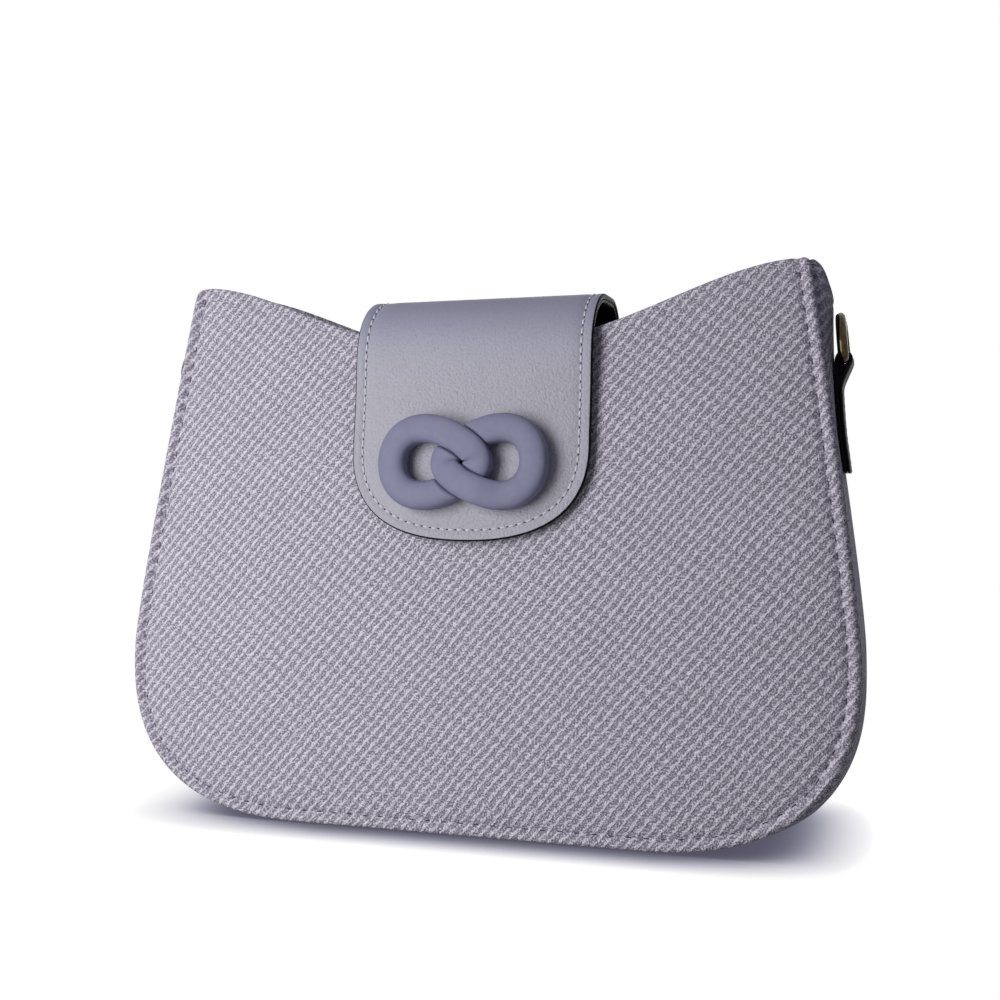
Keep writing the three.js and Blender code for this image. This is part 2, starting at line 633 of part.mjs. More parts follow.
// How far out the gusset is at a height, on the side of the given sign: in its middle where it swells out,
// and at the edges of a tab where it is tucked in.
function gussetReach(sign, z) {
  const places = seam(0).filter(({ at }) => at.x * sign > 0);
  const reach = (y) => {
    const points = places.map((place) => gussetPoint(place, y / gussetHalf(place.at.y), 0));
    const upwards = points.sort((a, b) => a.z - b.z);
    const above = upwards.findIndex((point) => point.z > z);
    const [low, high] = [upwards[above - 1], upwards[above]];
    return sign * THREE.MathUtils.mapLinear(z, low.z, high.z, low.x, high.x);
  };
  return Math.max(reach(0), reach(TAB_W / 2));
}

// Loop of a strap tab: it rests on the gusset.
const TAB_LOOP = PANEL_H * SLOPE_UP - TAB_DROP;
const TAB_FOOT = TAB_LOOP - TAB_LENGTH;
const LOOP_R = WIRE_R + GAP + TAB_STRAP;
const loopReach = (sign) => gussetReach(sign, TAB_LOOP) + GAP + LOOP_R;

// Strap tab: a strap folded round the bar of the D-ring and sewn double to the gusset.
function tab(side, name, sign) {
  const face = (off) =>
    Array.from({ length: TAB_STEPS + 1 }, (_, i) => {
      const z = THREE.MathUtils.lerp(TAB_FOOT, TAB_LOOP - TAB_NECK, i / TAB_STEPS);
      return V2(gussetReach(sign, z) + off, z);
    });
  const outline = new THREE.Path(face(GAP));
  outline.absarc(loopReach(sign), TAB_LOOP, LOOP_R, Math.PI, -radians(TAB_WRAP), true);
  const shape = new THREE.Shape([...outline.getPoints(TAB_STEPS), ...face(GAP + 2 * TAB_STRAP).reverse()]);
  shape.holes.push(new THREE.Path().absarc(loopReach(sign), TAB_LOOP, WIRE_R + GAP, 0, 2 * Math.PI));
  const extrusion = { depth: TAB_W, bevelEnabled: false, curveSegments: TAB_STEPS };
  const mesh = piece(side, name, new THREE.ExtrudeGeometry(shape, extrusion), "darkLeather");
  mesh.rotation.x = Math.PI / 2;
  mesh.position.y = TAB_W / 2;
}

// D-ring: a straight bar in the tab's loop and a round bow.
function dRing(side, name, sign) {
  const half = RING_W / 2;
  const shoulder = RING_RISE - half;
  const path = new THREE.Path();
  path.moveTo(0, 0);
  path.lineTo(half - RING_CORNER, 0);
  path.absarc(half - RING_CORNER, RING_CORNER, RING_CORNER, -Math.PI / 2, 0);
  path.lineTo(half, shoulder);
  path.absarc(0, shoulder, half, 0, Math.PI);
  path.lineTo(-half, RING_CORNER);
  path.absarc(RING_CORNER - half, RING_CORNER, RING_CORNER, Math.PI, 1.5 * Math.PI);
  path.lineTo(0, 0);
  const sections = Array.from({ length: RING_STEPS }, (_, i) => {
    const at = path.getPointAt(i / RING_STEPS);
    const along = path.getTangentAt(i / RING_STEPS);
    return Array.from({ length: PIPE_SIDES }, (_, j) => {
      const angle = (2 * Math.PI * j) / PIPE_SIDES;
      const wide = WIRE_R * Math.cos(angle);
      return V3(WIRE_R * Math.sin(angle), at.x + along.y * wide, at.y - along.x * wide);
    }).reverse();
  });
  const mesh = piece(side, name, loft(sections, true), "brass");
  mesh.position.set(loopReach(sign), 0, TAB_LOOP);
  mesh.rotation.y = -radians(sign > 0 ? RING_LEAN_RIGHT : RING_LEAN_LEFT);
}

for (const [side, sign] of [["right", 1], ["left", -1]]) {
  const group = new THREE.Group();
  group.rotation.z = sign > 0 ? 0 : Math.PI;
  bag.add(group);
  tab(group, "tab_" + side, sign);
  dRing(group, "d_ring_" + side, sign);
}

export default bag;
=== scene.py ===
# Looks of a half moon bag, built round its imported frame. Sizes are in mm until a mesh is made.
import math

import bmesh
import bpy
import numpy as np
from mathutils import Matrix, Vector
from mathutils.geometry import delaunay_2d_cdt


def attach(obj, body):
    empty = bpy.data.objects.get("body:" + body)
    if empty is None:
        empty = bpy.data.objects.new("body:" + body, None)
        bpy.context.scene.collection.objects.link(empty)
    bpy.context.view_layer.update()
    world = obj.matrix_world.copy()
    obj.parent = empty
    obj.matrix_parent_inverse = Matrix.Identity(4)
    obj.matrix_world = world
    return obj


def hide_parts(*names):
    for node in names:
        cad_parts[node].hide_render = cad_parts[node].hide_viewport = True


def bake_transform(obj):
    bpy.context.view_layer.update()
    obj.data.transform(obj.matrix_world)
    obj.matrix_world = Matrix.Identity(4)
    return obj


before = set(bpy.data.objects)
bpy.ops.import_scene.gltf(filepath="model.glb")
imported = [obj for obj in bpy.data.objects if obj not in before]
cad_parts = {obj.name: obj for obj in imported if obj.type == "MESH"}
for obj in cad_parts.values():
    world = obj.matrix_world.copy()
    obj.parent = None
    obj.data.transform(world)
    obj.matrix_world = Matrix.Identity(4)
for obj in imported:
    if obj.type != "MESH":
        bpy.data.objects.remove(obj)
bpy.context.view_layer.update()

MM = 0.001

# Panels, seams and gusset
BAG_W = 270
PANEL_H = 201.5
BASE_W = 128
WIDEST_H = 62
SIDE_UPRIGHT = 19
MOUTH_W = 235
SCOOP = 28.5
FULLNESS = 0.66
MOUTH_LEVEL = 0.3
MOUTH_ROUND = 0.45
BASE_D = 80
TOP_D = 30
GUSSET_FREE = 140
GUSSET_BULGE = 6.9
GUSSET_TUCK = 5
GUSSET_DIP = 13
BULGE_POWER = 1.4
DIP_POWER = 2
BULGE_ROUND = 0.6
DIP_ROUND = 1.5
GAP = 0.3
FABRIC = 2
BOARD = 1.2
LINING = 0.8
LINING_SLACK = 1.5
LINING_DROP = 2
LINING_ROOM = 1.3
ROLL_R = 2

# Softness of the sewn fabric
CORNER_ROUND = 4.5  # rounding of the mouth corners beside the tucked gusset
CORNER_SQUARE = 1.6  # the same beside the full gusset
ROLL_STAND = 0.95  # how far a panel's rolled edge stands out
ROLL_HOLD = 1.5  # width of the roll at full thickness
ROLL_EASE = 4.2
SEAM_IN = 4.1  # from the edge to the stitches beside the roll
SEAM_PITCH = 6
SEAM_THREAD = {"length": 3.2, "radius": 0.27, "lift": 0.1}
THREAD_SINK = 0.05
SEAM_DEPTH = 1.2
SEAM_BETWEEN = 0.45  # share of it left between stitches
SEAM_WIDTH = 0.95
SLIT_HOLD = 0.8
SLIT_EASE = 2.6
HEM_ROUND = 1.1
HEM_IN = 5.2  # from the mouth to the row of stitches
HEM_DEPTH = 0.3
HEM_BETWEEN = 0.6
HEM_WIDTH = 0.7
CROWN = 2.6  # how far a padded panel stands out beyond its seams
CROWN_RUN = 10
MOUTH_CROWN = 0.45  # share of the crown left at the mouth
MOUTH_RUN = 25
PUFF = 4.8  # how far the gusset swells between its seams, low on the sides
PUFF_LOW = -6
PUFF_FULL = 10
PUFF_HIGH = 72
PUFF_TURN = 1.5  # how soon the swell comes where the strip turns up
STRIP_EDGE = 1.1
STRIP_CORNER = 0.8  # how far the strip's corners sink at the mouth
STRIP_CORNER_RUN = 3
SNAP_DENT = 1.5
SNAP_DENT_R = 15
SAG = 0.35
LINING_SAG = 0.6
LINING_SAG_RUN = 9
LINING_WAVE = 1.7  # how much finer the lining's folds are than the cover's
LINING_DRAWN = 5  # reach of the hem's pull on the lining

# Flap
FLAP_W = 89
FLAP_TIP_H = 102.6
FLAP_ROUND = 33.2
FLAP_TIP = 2
FLAP_ANCHOR = 42
ANCHOR_ROUND = 14
FOLD_H = 181.151
ARCH_BACK_R = 10.5
ARCH_FRONT_R = 21
STANDOFF = 4.4
FLAP_T = 3.2
FLAP_INNER = 1.1  # thickness of the flap's lining
FLAP_LINING_IN = 0.35
FLAP_EDGE_ROUND = 0.8
FLAP_EDGE_POWER = 2.4
FLAP_PAINT = 0.5
FLAP_STITCH_IN = 4
FLAP_STITCH_PITCH = 3.2
FLAP_THREAD = {"length": 2.5, "radius": 0.4, "lift": 0.22}
# Short black bits between the flap's stitches: painted shade of the needle holes
FLAP_HOLE_SHADE = {"length": 1.2, "radius": 0.32, "lift": -0.1}
FLAP_GROOVE = 0.5
FLAP_GROOVE_WIDTH = 0.95
SIDE_DROOP = 0.9  # how far the flap's sides sink towards the panel
DROOP_START = 20
DROOP_RUN = 20

# Linked rings
LINK_W = 42.6
LINK_H = 34.1
LINK_TUBE = 10.2
LINK_T = 8
LINK_PITCH = 20.1
LINK_EGG = 0.33
LINK_SQUARE = 2.9
LINK_UP = 27.6
CROSS_UNDER = 4
CROSS_OVER = 4.8
CROSS_HOLD = 22
CROSS_EASE = 62
LINK_STEPS = 160
CROSS_SMOOTHING = 12
CROSS_SLOPE = 0.75  # half the slope where a strand goes under the other

# Magnetic snap
SNAP_R = 9
SNAP_UP = 22
SOCKET_T = 2.6
SOCKET_WALL = 0.5
STUD_T = 0.9
STUD_R = 3
SHANK_R = 2
SHANK_IN = 1  # how far the stud's shank goes into the flap
SNAP_FILLET = 0.25

# Strap tabs and D-rings
TAB_W = 18
TAB_STRAP = 1.2
TAB_DROP = 34.2
TAB_LENGTH = 39.2
TAB_NECK = 9
TAB_WRAP = 40
TAB_STITCH_IN = 2.2
TAB_STITCH_PITCH = 2.8
TAB_THREAD = {"length": 2.2, "radius": 0.16, "lift": -0.06}
TAB_EDGE = (0.12, 0.5)  # squareness of the strap's edge across and through it
TAB_END_ROUND = 0.7
TAB_SMOOTHING = 9
FILLER_IN = 0.15
FILLER_BEVEL = 0.94
WIRE_R = 1.8
RING_W = 24
RING_RISE = 15.1
RING_CORNER = 2.3
RING_LEAN = {"right": 5, "left": 14}

# Weave, as waves per millimetre across and up the cloth
RIB_WAVE = (0.276, -0.235, 0)
FLOAT_WAVE = (0.122, 0.17, 0)
WANDER = [(0.05, (1.8, 1.8, 0)), (0.35, (0.55, 0.55, 0))]  # scale and reach of the yarn's wandering
RIB_SWING = 0.05  # how far a rib swings with each float, in waves
RIB_SPAN = (-0.1, 0.95)
RIB_RISE = 0.72
FLOAT_SCALE = 0.03
FLOAT_SHARE = (0.08, 0.26)  # how much a float widens a rib, least and most
FLOAT_RISE = 0.07
NUB_SCALE = 0.7
NUB_SHARE = 0.4
FIBRE_SCALE = 1.6
FIBRE_SHARE = 0.95
FIBRE_RISE = 0.5
WEAVE_DEPTH = 0.42
WEAVE_TONE = (0.9, 0.24)  # slope and middle of the tone by height
# Tones by height: lighter rib yarn, and a darker low ground that is partly painted shade in the hollows
YARN_AND_HOLLOW_SHADE_TONES = [(0, (136, 131, 147)), (0.24, (168, 163, 178)), (0.88, (232, 227, 240)), (1, (245, 240, 251))]
CLOTH_FADE = (0.93, 1.07)
FADE_SCALE = 0.05

# Grain, metal and thread
PEBBLE_SWAY = 0.6
PEBBLE_TONES = (1.04, 0.9)
FINE_GRAIN = 3
FINE_SHARE = 0.35
WEAR_SCALE = 0.06
TARNISH_SCALE = 0.35
TARNISH_SPAN = (0.3, 0.65)
SCRATCH_WAVES = (0.6, 6, 6)
SCRATCH_DEPTH = 0.01
TWIST_SCALE = 1.3
TWIST_DEPTH = 0.06

# Camera at the photograph's place, light and floor
SENSOR = 36
FOCAL_PX = 1270
IMAGE_PX = 1000
CAMERA_AZIMUTH = 17.35
CAMERA_ELEVATION = 0.64
CAMERA_AIM = (2.7, 0, 116.9)
CAMERA_AWAY = 478.8
LAMPS = {"key": {"place": (-196, -444, 165), "size": (240, 420), "power": 2.12},
         "back": {"place": (5, 530, 190), "size": (420, 420), "power": 2.3}}
AMBIENT = (0.145, 0.145, 0.172)
FLOOR_SIZE = 4000
SHADOW_REACH = 21.5
SHADOW_SHIFT = 9
SHADOW_FADE = (60, 140)
SHADOW_LEFT = 0.05
SHADOW_TONES = [  # by how open the floor is to the sky
    (0.3, (84, 82, 98)), (0.5, (92, 90, 106)), (0.607, (105, 104, 121)), (0.703, (134, 133, 149)),
    (0.79, (170, 169, 182)), (0.867, (203, 202, 211)), (0.945, (229, 228, 233)), (0.99, (245, 245, 247)),
    (1, (255, 255, 255))]
FLOOR_GREY = (0.4, 0.03)  # what it throws back on the bag, and adds to its own white

LEAN = math.asin((BASE_D - TOP_D) / 2 / PANEL_H)
SLOPE_UP = math.cos(LEAN)
SLOPE_IN = math.sin(LEAN)
LINING_W = -(FABRIC + GAP + BOARD + LINING_SLACK)
GUSSET_LINING = FABRIC + GAP + BOARD + GAP
LINING_INSET = GUSSET_LINING + LINING + LINING_ROOM + (LINING - LINING_W) * math.tan(LEAN)
STEP = 1.2  # between points along an edge
FINE_STEP = 0.7
ROUND_SIDES = 64
STUB = 0.05  # a small flat in place of a sharp end
NUDGE = 0.2  # step that finds a direction


# Curves and nets

def bezier(corners, count):
    """Points of a Bezier curve."""
    share = np.linspace(0, 1, count)[:, None]
    rows = [np.array(corner, float) for corner in corners]
    while len(rows) > 1:
        rows = [a + (b - a) * share for a, b in zip(rows, rows[1:])]
    return rows[0]


def lengths(line):
    """How far along a line each of its points is."""
    return np.r_[0, np.cumsum(np.linalg.norm(np.diff(line, axis=0), axis=1))]


def read_off(rows, along, at):
    """Rows given along a line, read off at other places along it."""
    return np.column_stack([np.interp(at, along, column) for column in rows.T])


def spaced(line, step):
    """The same line with points an even step apart."""
    along = lengths(line)
    return read_off(line, along, np.linspace(0, along[-1], max(2, round(along[-1] / step) + 1)))


def unit(vectors):
    return vectors / np.linalg.norm(vectors, axis=-1, keepdims=True)


def right_of(line):
    """Unit direction to the right of travel at each point of a flat line."""
    along = unit(np.gradient(line, axis=0))
    return np.column_stack([along[:, 1], -along[:, 0]])


def right_of_loop(loop):
    """The same for a closed line, whose last point is its first."""
    return right_of(np.vstack([loop[-2:-1], loop, loop[1:2]]))[1:-1]


def closed(outline):
    """An outline with its first point again at its end."""
    return np.vstack([outline, outline[:1]])


def arc(middle, radius, first, last, count):
    """Points round part of a circle, between two angles in degrees."""
    turn = np.radians(np.linspace(first, last, count))
    return np.array(middle) + radius * np.column_stack([np.cos(turn), np.sin(turn)])


def squared(share, power):
    """A cosine or sine made squarer by a power below 1."""
    return np.sign(share) * np.abs(share) ** power


def nearest(points, line):
    """Distance from each point to a line, and how far along it the nearest place is."""
    step = np.diff(line, axis=0)
    size = np.linalg.norm(step, axis=1)
    begins = lengths(line)[:-1]
    found = []
    for part in np.array_split(points, 1 + len(points) // 1500):
        offset = part[:, None] - line[:-1]
        share = np.clip((offset * step).sum(2) / size ** 2, 0, 1)
        away = np.linalg.norm(offset - share[..., None] * step, axis=2)
        best = away.argmin(1)
        rows = np.arange(len(part))
        found.append(np.column_stack([away[rows, best], begins[best] + share[rows, best] * size[best]]))
    return np.vstack(found).T


def within(points, outline):
    """Which points lie inside a closed outline."""
    x, y = points[:, None].transpose(2, 0, 1)
    (x0, y0), (x1, y1) = outline.T, np.roll(outline, -1, 0).T
    spans = (y0 > y) != (y1 > y)
    crossing = x0 + (y - y0) * (x1 - x0) / np.where(y1 == y0, 1, y1 - y0)
    return (spans & (x < crossing)).sum(1) % 2 == 1


def plate(outline, rings, spacing):
    """Fills an outline, given anticlockwise, with triangles: rings of points inside its edge, then a net.
    Gives the points, the triangles and which points are on the rim."""
    loop = closed(outline)
    inward = -right_of_loop(loop)[:-1]
    layers = [outline]
    for depth in rings:
        moved = outline + inward * depth
        layers.append(moved[nearest(moved, loop)[0] > depth * 0.98])
    low, high = outline.min(0), outline.max(0)
    across = np.arange(low[0], high[0], spacing)
    rows = np.arange(low[1], high[1], spacing * math.sqrt(3) / 2)
    net = np.vstack([np.column_stack([across + spacing / 2 * (i % 2), np.full_like(across, row)])
                     for i, row in enumerate(rows)])
    net = net[within(net, outline)]
    layers.append(net[nearest(net, loop)[0] > rings[-1] + spacing * 0.6])
    corners = [Vector(point) for point in np.vstack(layers)]
    made = delaunay_2d_cdt(corners, [], [list(range(len(outline)))], 1, 1e-5)
    flat = np.array([tuple(point) for point in made[0]])
    triangles = np.array(made[2])
    rim = nearest(flat, loop)[0] < 1e-3
    return flat, triangles[~rim[triangles].all(1)], rim


def net_faces(rows, columns):
    """Faces of a net of rows and columns."""
    index = np.arange(rows * columns).reshape(rows, columns)
    return np.stack([index[:-1, :-1], index[:-1, 1:], index[1:, 1:], index[1:, :-1]], -1).reshape(-1, 4)


def soft_edge(share, power=2):
    """0 at an edge, rising as a rounded edge does to 1 where the share is 1."""
    return (1 - (1 - np.clip(share, 0, 1)) ** power) ** (1 / power)


def nearness(away, hold, ease):
    """1 up to a hold, easing to 0."""
    share = np.clip((away - hold) / (ease - hold), 0, 1)
    return 1 - share * share * (3 - 2 * share)


# Meshes

def make(name, points, faces, looks, cloth=None, kinds=None):
    """A smooth closed mesh. Cloth gives each point's place on the flat cloth, kinds each face's look."""
    mesh = bpy.data.meshes.new(name)
    mesh.from_pydata((points * MM).tolist(), [], faces)
    for skin in looks:
        mesh.materials.append(skin)
    if kinds is not None:
        mesh.polygons.foreach_set("material_index", kinds)
    if cloth is not None:
        corner = np.empty(len(mesh.loops), int)
        mesh.loops.foreach_get("vertex_index", corner)
        mesh.uv_layers.new(name="weave").data.foreach_set("uv", cloth[corner].ravel())
    whole = bmesh.new()
    whole.from_mesh(mesh)
    bmesh.ops.recalc_face_normals(whole, faces=whole.faces)
    whole.to_mesh(mesh)
    whole.free()
    mesh.shade_smooth()
    made = bpy.data.objects.new(name, mesh)
    bpy.context.scene.collection.objects.link(made)
    return made


def shell(name, faces, rim, upper, lower, cloth, looks, kinds=None):
    """A closed sheet between an upper and a lower face that meet at the rim."""
    faces = np.array(faces)
    under = np.where(rim, np.arange(len(rim)), len(rim) - 1 + np.cumsum(~rim))
    points = np.vstack([upper, lower[~rim]])
    both = faces.tolist() + under[faces][:, ::-1].tolist()
    kinds = None if kinds is None else np.r_[kinds, kinds]
    return make(name, points, both, looks, np.vstack([cloth, cloth[~rim]]), kinds)


def tube(rings, looped):
    """Points and faces of a tube through rings of points."""
    count, sides = rings.shape[:2]
    index = np.arange(count * sides).reshape(count, sides)
    here, there = (index, np.roll(index, -1, 0)) if looped else (index[:-1], index[1:])
    quads = np.stack([here, np.roll(here, -1, 1), np.roll(there, -1, 1), there], -1).reshape(-1, 4).tolist()
    ends = [] if looped else [index[0].tolist(), index[-1][::-1].tolist()]
    return rings.reshape(-1, 3), quads + ends


def circle(sides, start=0):
    return start + np.linspace(0, 2 * np.pi, sides, endpoint=False)


STITCH_RINGS = np.linspace(-0.86, 0.86, 6)
STITCH_SIDES = 6


def stitches(name, places, along, out, skin, length, radius, lift):
    """A row of stitches as one piece: short threads that dip into the cloth at both ends."""
    aside = np.cross(along, out)
    turn = circle(STITCH_SIDES)
    points, faces = [], []

    def bow(u):
        return places + along * (length / 2 * u) + out * (lift - (lift + radius * 1.2) * u ** 4)

    for u in STITCH_RINGS:
        girth = radius * math.sqrt(1 - u ** 4 * 0.8)
        ring = aside[:, None] * np.cos(turn)[:, None] + out[:, None] * np.sin(turn)[:, None]
        points.append(bow(u)[:, None] + ring * girth)
    points = np.concatenate(points + [bow(-1)[:, None], bow(1)[:, None]], 1)
    rows = len(STITCH_RINGS)
    index = np.arange(rows * STITCH_SIDES).reshape(rows, STITCH_SIDES)
    one = np.stack([index[:-1], np.roll(index[:-1], -1, 1), np.roll(index[1:], -1, 1), index[1:]], -1)
    first, last = rows * STITCH_SIDES, rows * STITCH_SIDES + 1
    ends = [(first, b, a) for a, b in zip(index[0], np.roll(index[0], -1))]
    ends += [(last, a, b) for a, b in zip(index[-1], np.roll(index[-1], -1))]
    for start in np.arange(len(places)) * (last + 1):
        faces += (one.reshape(-1, 4) + start).tolist()
        faces += (np.array(ends) + start).tolist()
    return make(name, points.reshape(-1, 3), faces, [skin])


def filleted(corners, radius):
    """A profile with its corners rounded."""
    corners = np.array(corners, float)
    rows = [corners[:1]]
    for before, corner, after in zip(corners, corners[1:], corners[2:]):
        reach = min(radius, np.linalg.norm(corner - before) / 2.1, np.linalg.norm(after - corner) / 2.1)
        start, end = corner + unit(before - corner) * reach, corner + unit(after - corner) * reach
        rows.append(bezier([start, corner, end], 5))
    return np.vstack(rows + [corners[-1:]])


# Places on the bag

def on_front(x, s, w):
    """Place by the front panel: across, up its slope, out of the bag."""
    x, s, w = np.broadcast_arrays(x, s, w)
    return np.stack([x, s * SLOPE_IN - w * SLOPE_UP - BASE_D / 2, s * SLOPE_UP + w * SLOPE_IN], -1)


def on_back(x, s, w):
    """The same by the back panel, as seen from behind."""
    return on_front(x, s, w) * [-1, -1, 1]


def seam_line():
    """Seam line in the plane of a panel, from the left mouth corner round the base to the right one."""
    half, wide = BASE_W / 2, BAG_W / 2
    pull = half + FULLNESS * (wide - half)
    corner = [(half, 0), (pull, 0), (wide, WIDEST_H * (1 - FULLNESS)), (wide, WIDEST_H)]
    side = [(wide, WIDEST_H), (wide, WIDEST_H + SIDE_UPRIGHT), (MOUTH_W / 2, PANEL_H)]
    right = np.vstack([[(0, 0)], bezier(corner, 60), bezier(side, 60)[1:]])
    return spaced(np.vstack([right[:0:-1] * [-1, 1], right]), STEP)


SEAM = seam_line()
SEAM_OUT = right_of(SEAM)
SEAM_ALONG = lengths(SEAM)


def panel_edges(inset, drop):
    """Seam edge and mouth edge of a panel's layer."""
    x, top, low = MOUTH_W / 2, PANEL_H - drop, PANEL_H - SCOOP - drop
    half = bezier([(x, top), (x * (1 - MOUTH_LEVEL), top), (x * MOUTH_ROUND, low), (0, low)], 120)
    seam = SEAM - SEAM_OUT * inset
    seam = seam[seam[:, 1] < np.interp(np.abs(seam[:, 0]), half[::-1, 0], half[::-1, 1])]
    half = half[half[:, 0] < seam[-1, 0]]
    return seam, spaced(np.vstack([seam[-1:], half, half[-2::-1] * [-1, 1], seam[:1]]), STEP)


def rounded_outline(seam, mouth, right_reach, left_reach):
    """Closed outline of a panel with its two mouth corners rounded."""
    def inner(line, first, last):
        along = lengths(line)
        return line[(along > first) & (along < along[-1] - last)]

    side, top = inner(seam, left_reach, right_reach), inner(mouth, right_reach, left_reach)
    right = bezier([side[-1], seam[-1], top[0]], 7)[1:-1]
    left = bezier([top[-1], mouth[-1], side[0]], 7)[1:-1]
    return np.vstack([side, right, top, left])


def gusset_half(s):
    """Half the depth of the gusset at a height up the slope."""
    return BASE_D / 2 - s * SLOPE_IN - (2 * ROLL_R - ROLL_STAND + GAP) / SLOPE_UP


def gusset_place(rows, across, depth):
    """Places on the gusset at seam rows: across runs from -1 at the front to 1 at the back."""
    (x, s), out = SEAM[rows].T[..., None], SEAM_OUT[rows].T[..., None]
    slack = np.maximum(0, (s - GUSSET_FREE) / (PANEL_H - GUSSET_FREE))
    middle = np.maximum(0, 1 - across ** 2)
    bulge = np.where(x > 0, GUSSET_BULGE * middle ** BULGE_ROUND, -GUSSET_TUCK * middle ** DIP_ROUND)
    low_side = np.minimum(1, PUFF_TURN * np.abs(out[0])) * (1 - nearness(s, PUFF_LOW, PUFF_FULL))
    puff = PUFF * low_side * nearness(s, PUFF_FULL, PUFF_HIGH)
    swell = bulge * slack ** BULGE_POWER + puff * middle ** BULGE_ROUND - depth
    z = (s + out[1] * swell) * SLOPE_UP - GUSSET_DIP * slack ** DIP_POWER * middle ** DIP_ROUND
    return np.stack(np.broadcast_arrays(x + out[0] * swell, across * gusset_half(s), z), -1)


FOLD_Z = FOLD_H * SLOPE_UP + GAP * SLOPE_IN
FOLD_Y = BASE_D / 2 - FOLD_H * SLOPE_IN + GAP * SLOPE_UP
ARCH_TOP = FOLD_Z + ARCH_BACK_R * (1 - SLOPE_IN)
BACK_CENTRE = (FOLD_Y - ARCH_BACK_R * SLOPE_UP, ARCH_TOP - ARCH_BACK_R)
FRONT_Z = ARCH_TOP - ARCH_FRONT_R
FRONT_Y = (ARCH_FRONT_R - STANDOFF + FRONT_Z * SLOPE_IN) / SLOPE_UP - BASE_D / 2
QUARTER = math.pi / 2 - LEAN
BACK_BEND = ARCH_BACK_R * QUARTER
TOP_RUN = BACK_CENTRE[0] - FRONT_Y
FRONT_BEND = BACK_BEND + TOP_RUN + ARCH_FRONT_R * QUARTER
FRONT_BEND_H = (FRONT_Y + BASE_D / 2) * SLOPE_IN + FRONT_Z * SLOPE_UP
FLAP_END = FRONT_BEND + FRONT_BEND_H - FLAP_TIP_H


def flap_place(x, length, height):
    """Place on the flap: across, along from the fold, over its inner face. Its sides sink a little."""
    x, length, height = np.broadcast_arrays(x, length, height)
    sides = 1 - nearness(np.abs(x), DROOP_START, FLAP_W / 2)
    height = height - SIDE_DROOP * sides * (1 - nearness(length, FRONT_BEND, FRONT_BEND + DROOP_RUN))
    turn = BACK_BEND + TOP_RUN
    in_back = np.clip(length, 0, BACK_BEND)
    in_front = np.clip(length - turn, 0, FRONT_BEND - turn)
    straight = np.minimum(length, 0) + np.maximum(length - FRONT_BEND, 0)
    angle = LEAN + in_back / ARCH_BACK_R + in_front / ARCH_FRONT_R
    behind = length < turn
    radius = np.where(behind, ARCH_BACK_R, ARCH_FRONT_R) + height
    middle_y = np.where(behind, BACK_CENTRE[0] - np.clip(length - BACK_BEND, 0, TOP_RUN), FRONT_Y)
    middle_z = np.where(behind, BACK_CENTRE[1], FRONT_Z)
    y = middle_y + radius * np.cos(angle) - straight * np.sin(angle)
    z = middle_z + radius * np.sin(angle) + straight * np.cos(angle)
    return np.stack([x, y, z], -1)


def flap_outline(inset):
    """Outline of the flap laid flat, anticlockwise, moved in by an inset."""
    half = FLAP_W / 2

    def round_end(tip_half, rise, tip, way):
        pull = tip_half + FULLNESS * (half - tip_half)
        corners = [(half, rise), (half, rise * (1 - FULLNESS)), (pull, 0), (tip_half, 0)]
        return bezier(corners, 40) * [1, way] + [0, tip]

    anchor = round_end(half - ANCHOR_ROUND, ANCHOR_ROUND, -FLAP_ANCHOR, 1)[::-1]
    tip = round_end(FLAP_TIP / 2, FLAP_ROUND, FLAP_END, -1)
    right = np.vstack([[(0, -FLAP_ANCHOR)], anchor, tip, [(0, FLAP_END)]])
    whole = spaced(np.vstack([right, right[-2::-1] * [-1, 1]]), STEP)
    return (whole - right_of_loop(whole) * inset)[:-1]


# Looks

# Painted shade over the flap's bend: its colour is darkened there, most at the crest, fading over the fade
# length
BEND_CREST = BACK_BEND + TOP_RUN + 8  # where the flap's bend is deepest in tone
BEND_FADE = 38
BEND_PAINTED_SHADE = (0.72, 0.73, 0.87)


def linear(*levels):
    """A colour from its levels of 0 to 255 on a screen."""
    parts = [level / 255 for level in levels]
    return tuple(c / 12.92 if c <= 0.04045 else ((c + 0.055) / 1.055) ** 2.4 for c in parts)


def look(name, rough=0.5, shine=0.5, **values):
    """A new material, its nodes and its main shader. Values name more of its sockets."""
    made = bpy.data.materials.new(name)
    made.use_nodes = True
    shader = made.node_tree.nodes["Principled BSDF"]
    shader.inputs["Roughness"].default_value = rough
    shader.inputs["Specular IOR Level"].default_value = shine
    for key, value in values.items():
        shader.inputs[key.replace("_", " ").title()].default_value = value
    return made, made.node_tree, shader


def add(tree, kind, *values, out=0, **settings):
    """A new shader node's output. Values are its inputs in order: numbers, vectors, outputs or None."""
    node = tree.nodes.new("ShaderNode" + kind)
    for key, value in settings.items():
        setattr(node, key, value)
    for socket, value in zip(node.inputs, values):
        if isinstance(value, bpy.types.NodeSocket):
            tree.links.new(value, socket)
        elif value is not None:
            socket.default_value = value
    return node.outputs[out]


def calc(tree, operation, *values):
    return add(tree, "Math", *values, operation=operation)


def vector(tree, operation, *values, out=0):
    return add(tree, "VectorMath", *values, operation=operation, out=out)


def ramp(tree, share, *stops):
    """Colours by share: each stop is a place and a colour."""
    node = tree.nodes.new("ShaderNodeValToRGB")
    elements = node.color_ramp.elements
    while len(elements) < len(stops):
        elements.new(0.5)
    for element, (place, colour) in zip(elements, stops):
        element.position = place
        element.color = (*colour, 1)
    tree.links.new(share, node.inputs[0])
    return node.outputs[0]


def tones(stops):
    """Stops of a ramp from their places and levels on a screen."""
    return [(place, linear(*levels)) for place, levels in stops]


def shaded(tree, colour, share, low, high):
    """A colour made darker or lighter between low and high by a share of 0 to 1."""
    return vector(tree, "SCALE", colour, None, None, add(tree, "MapRange", share, 0, 1, low, high))


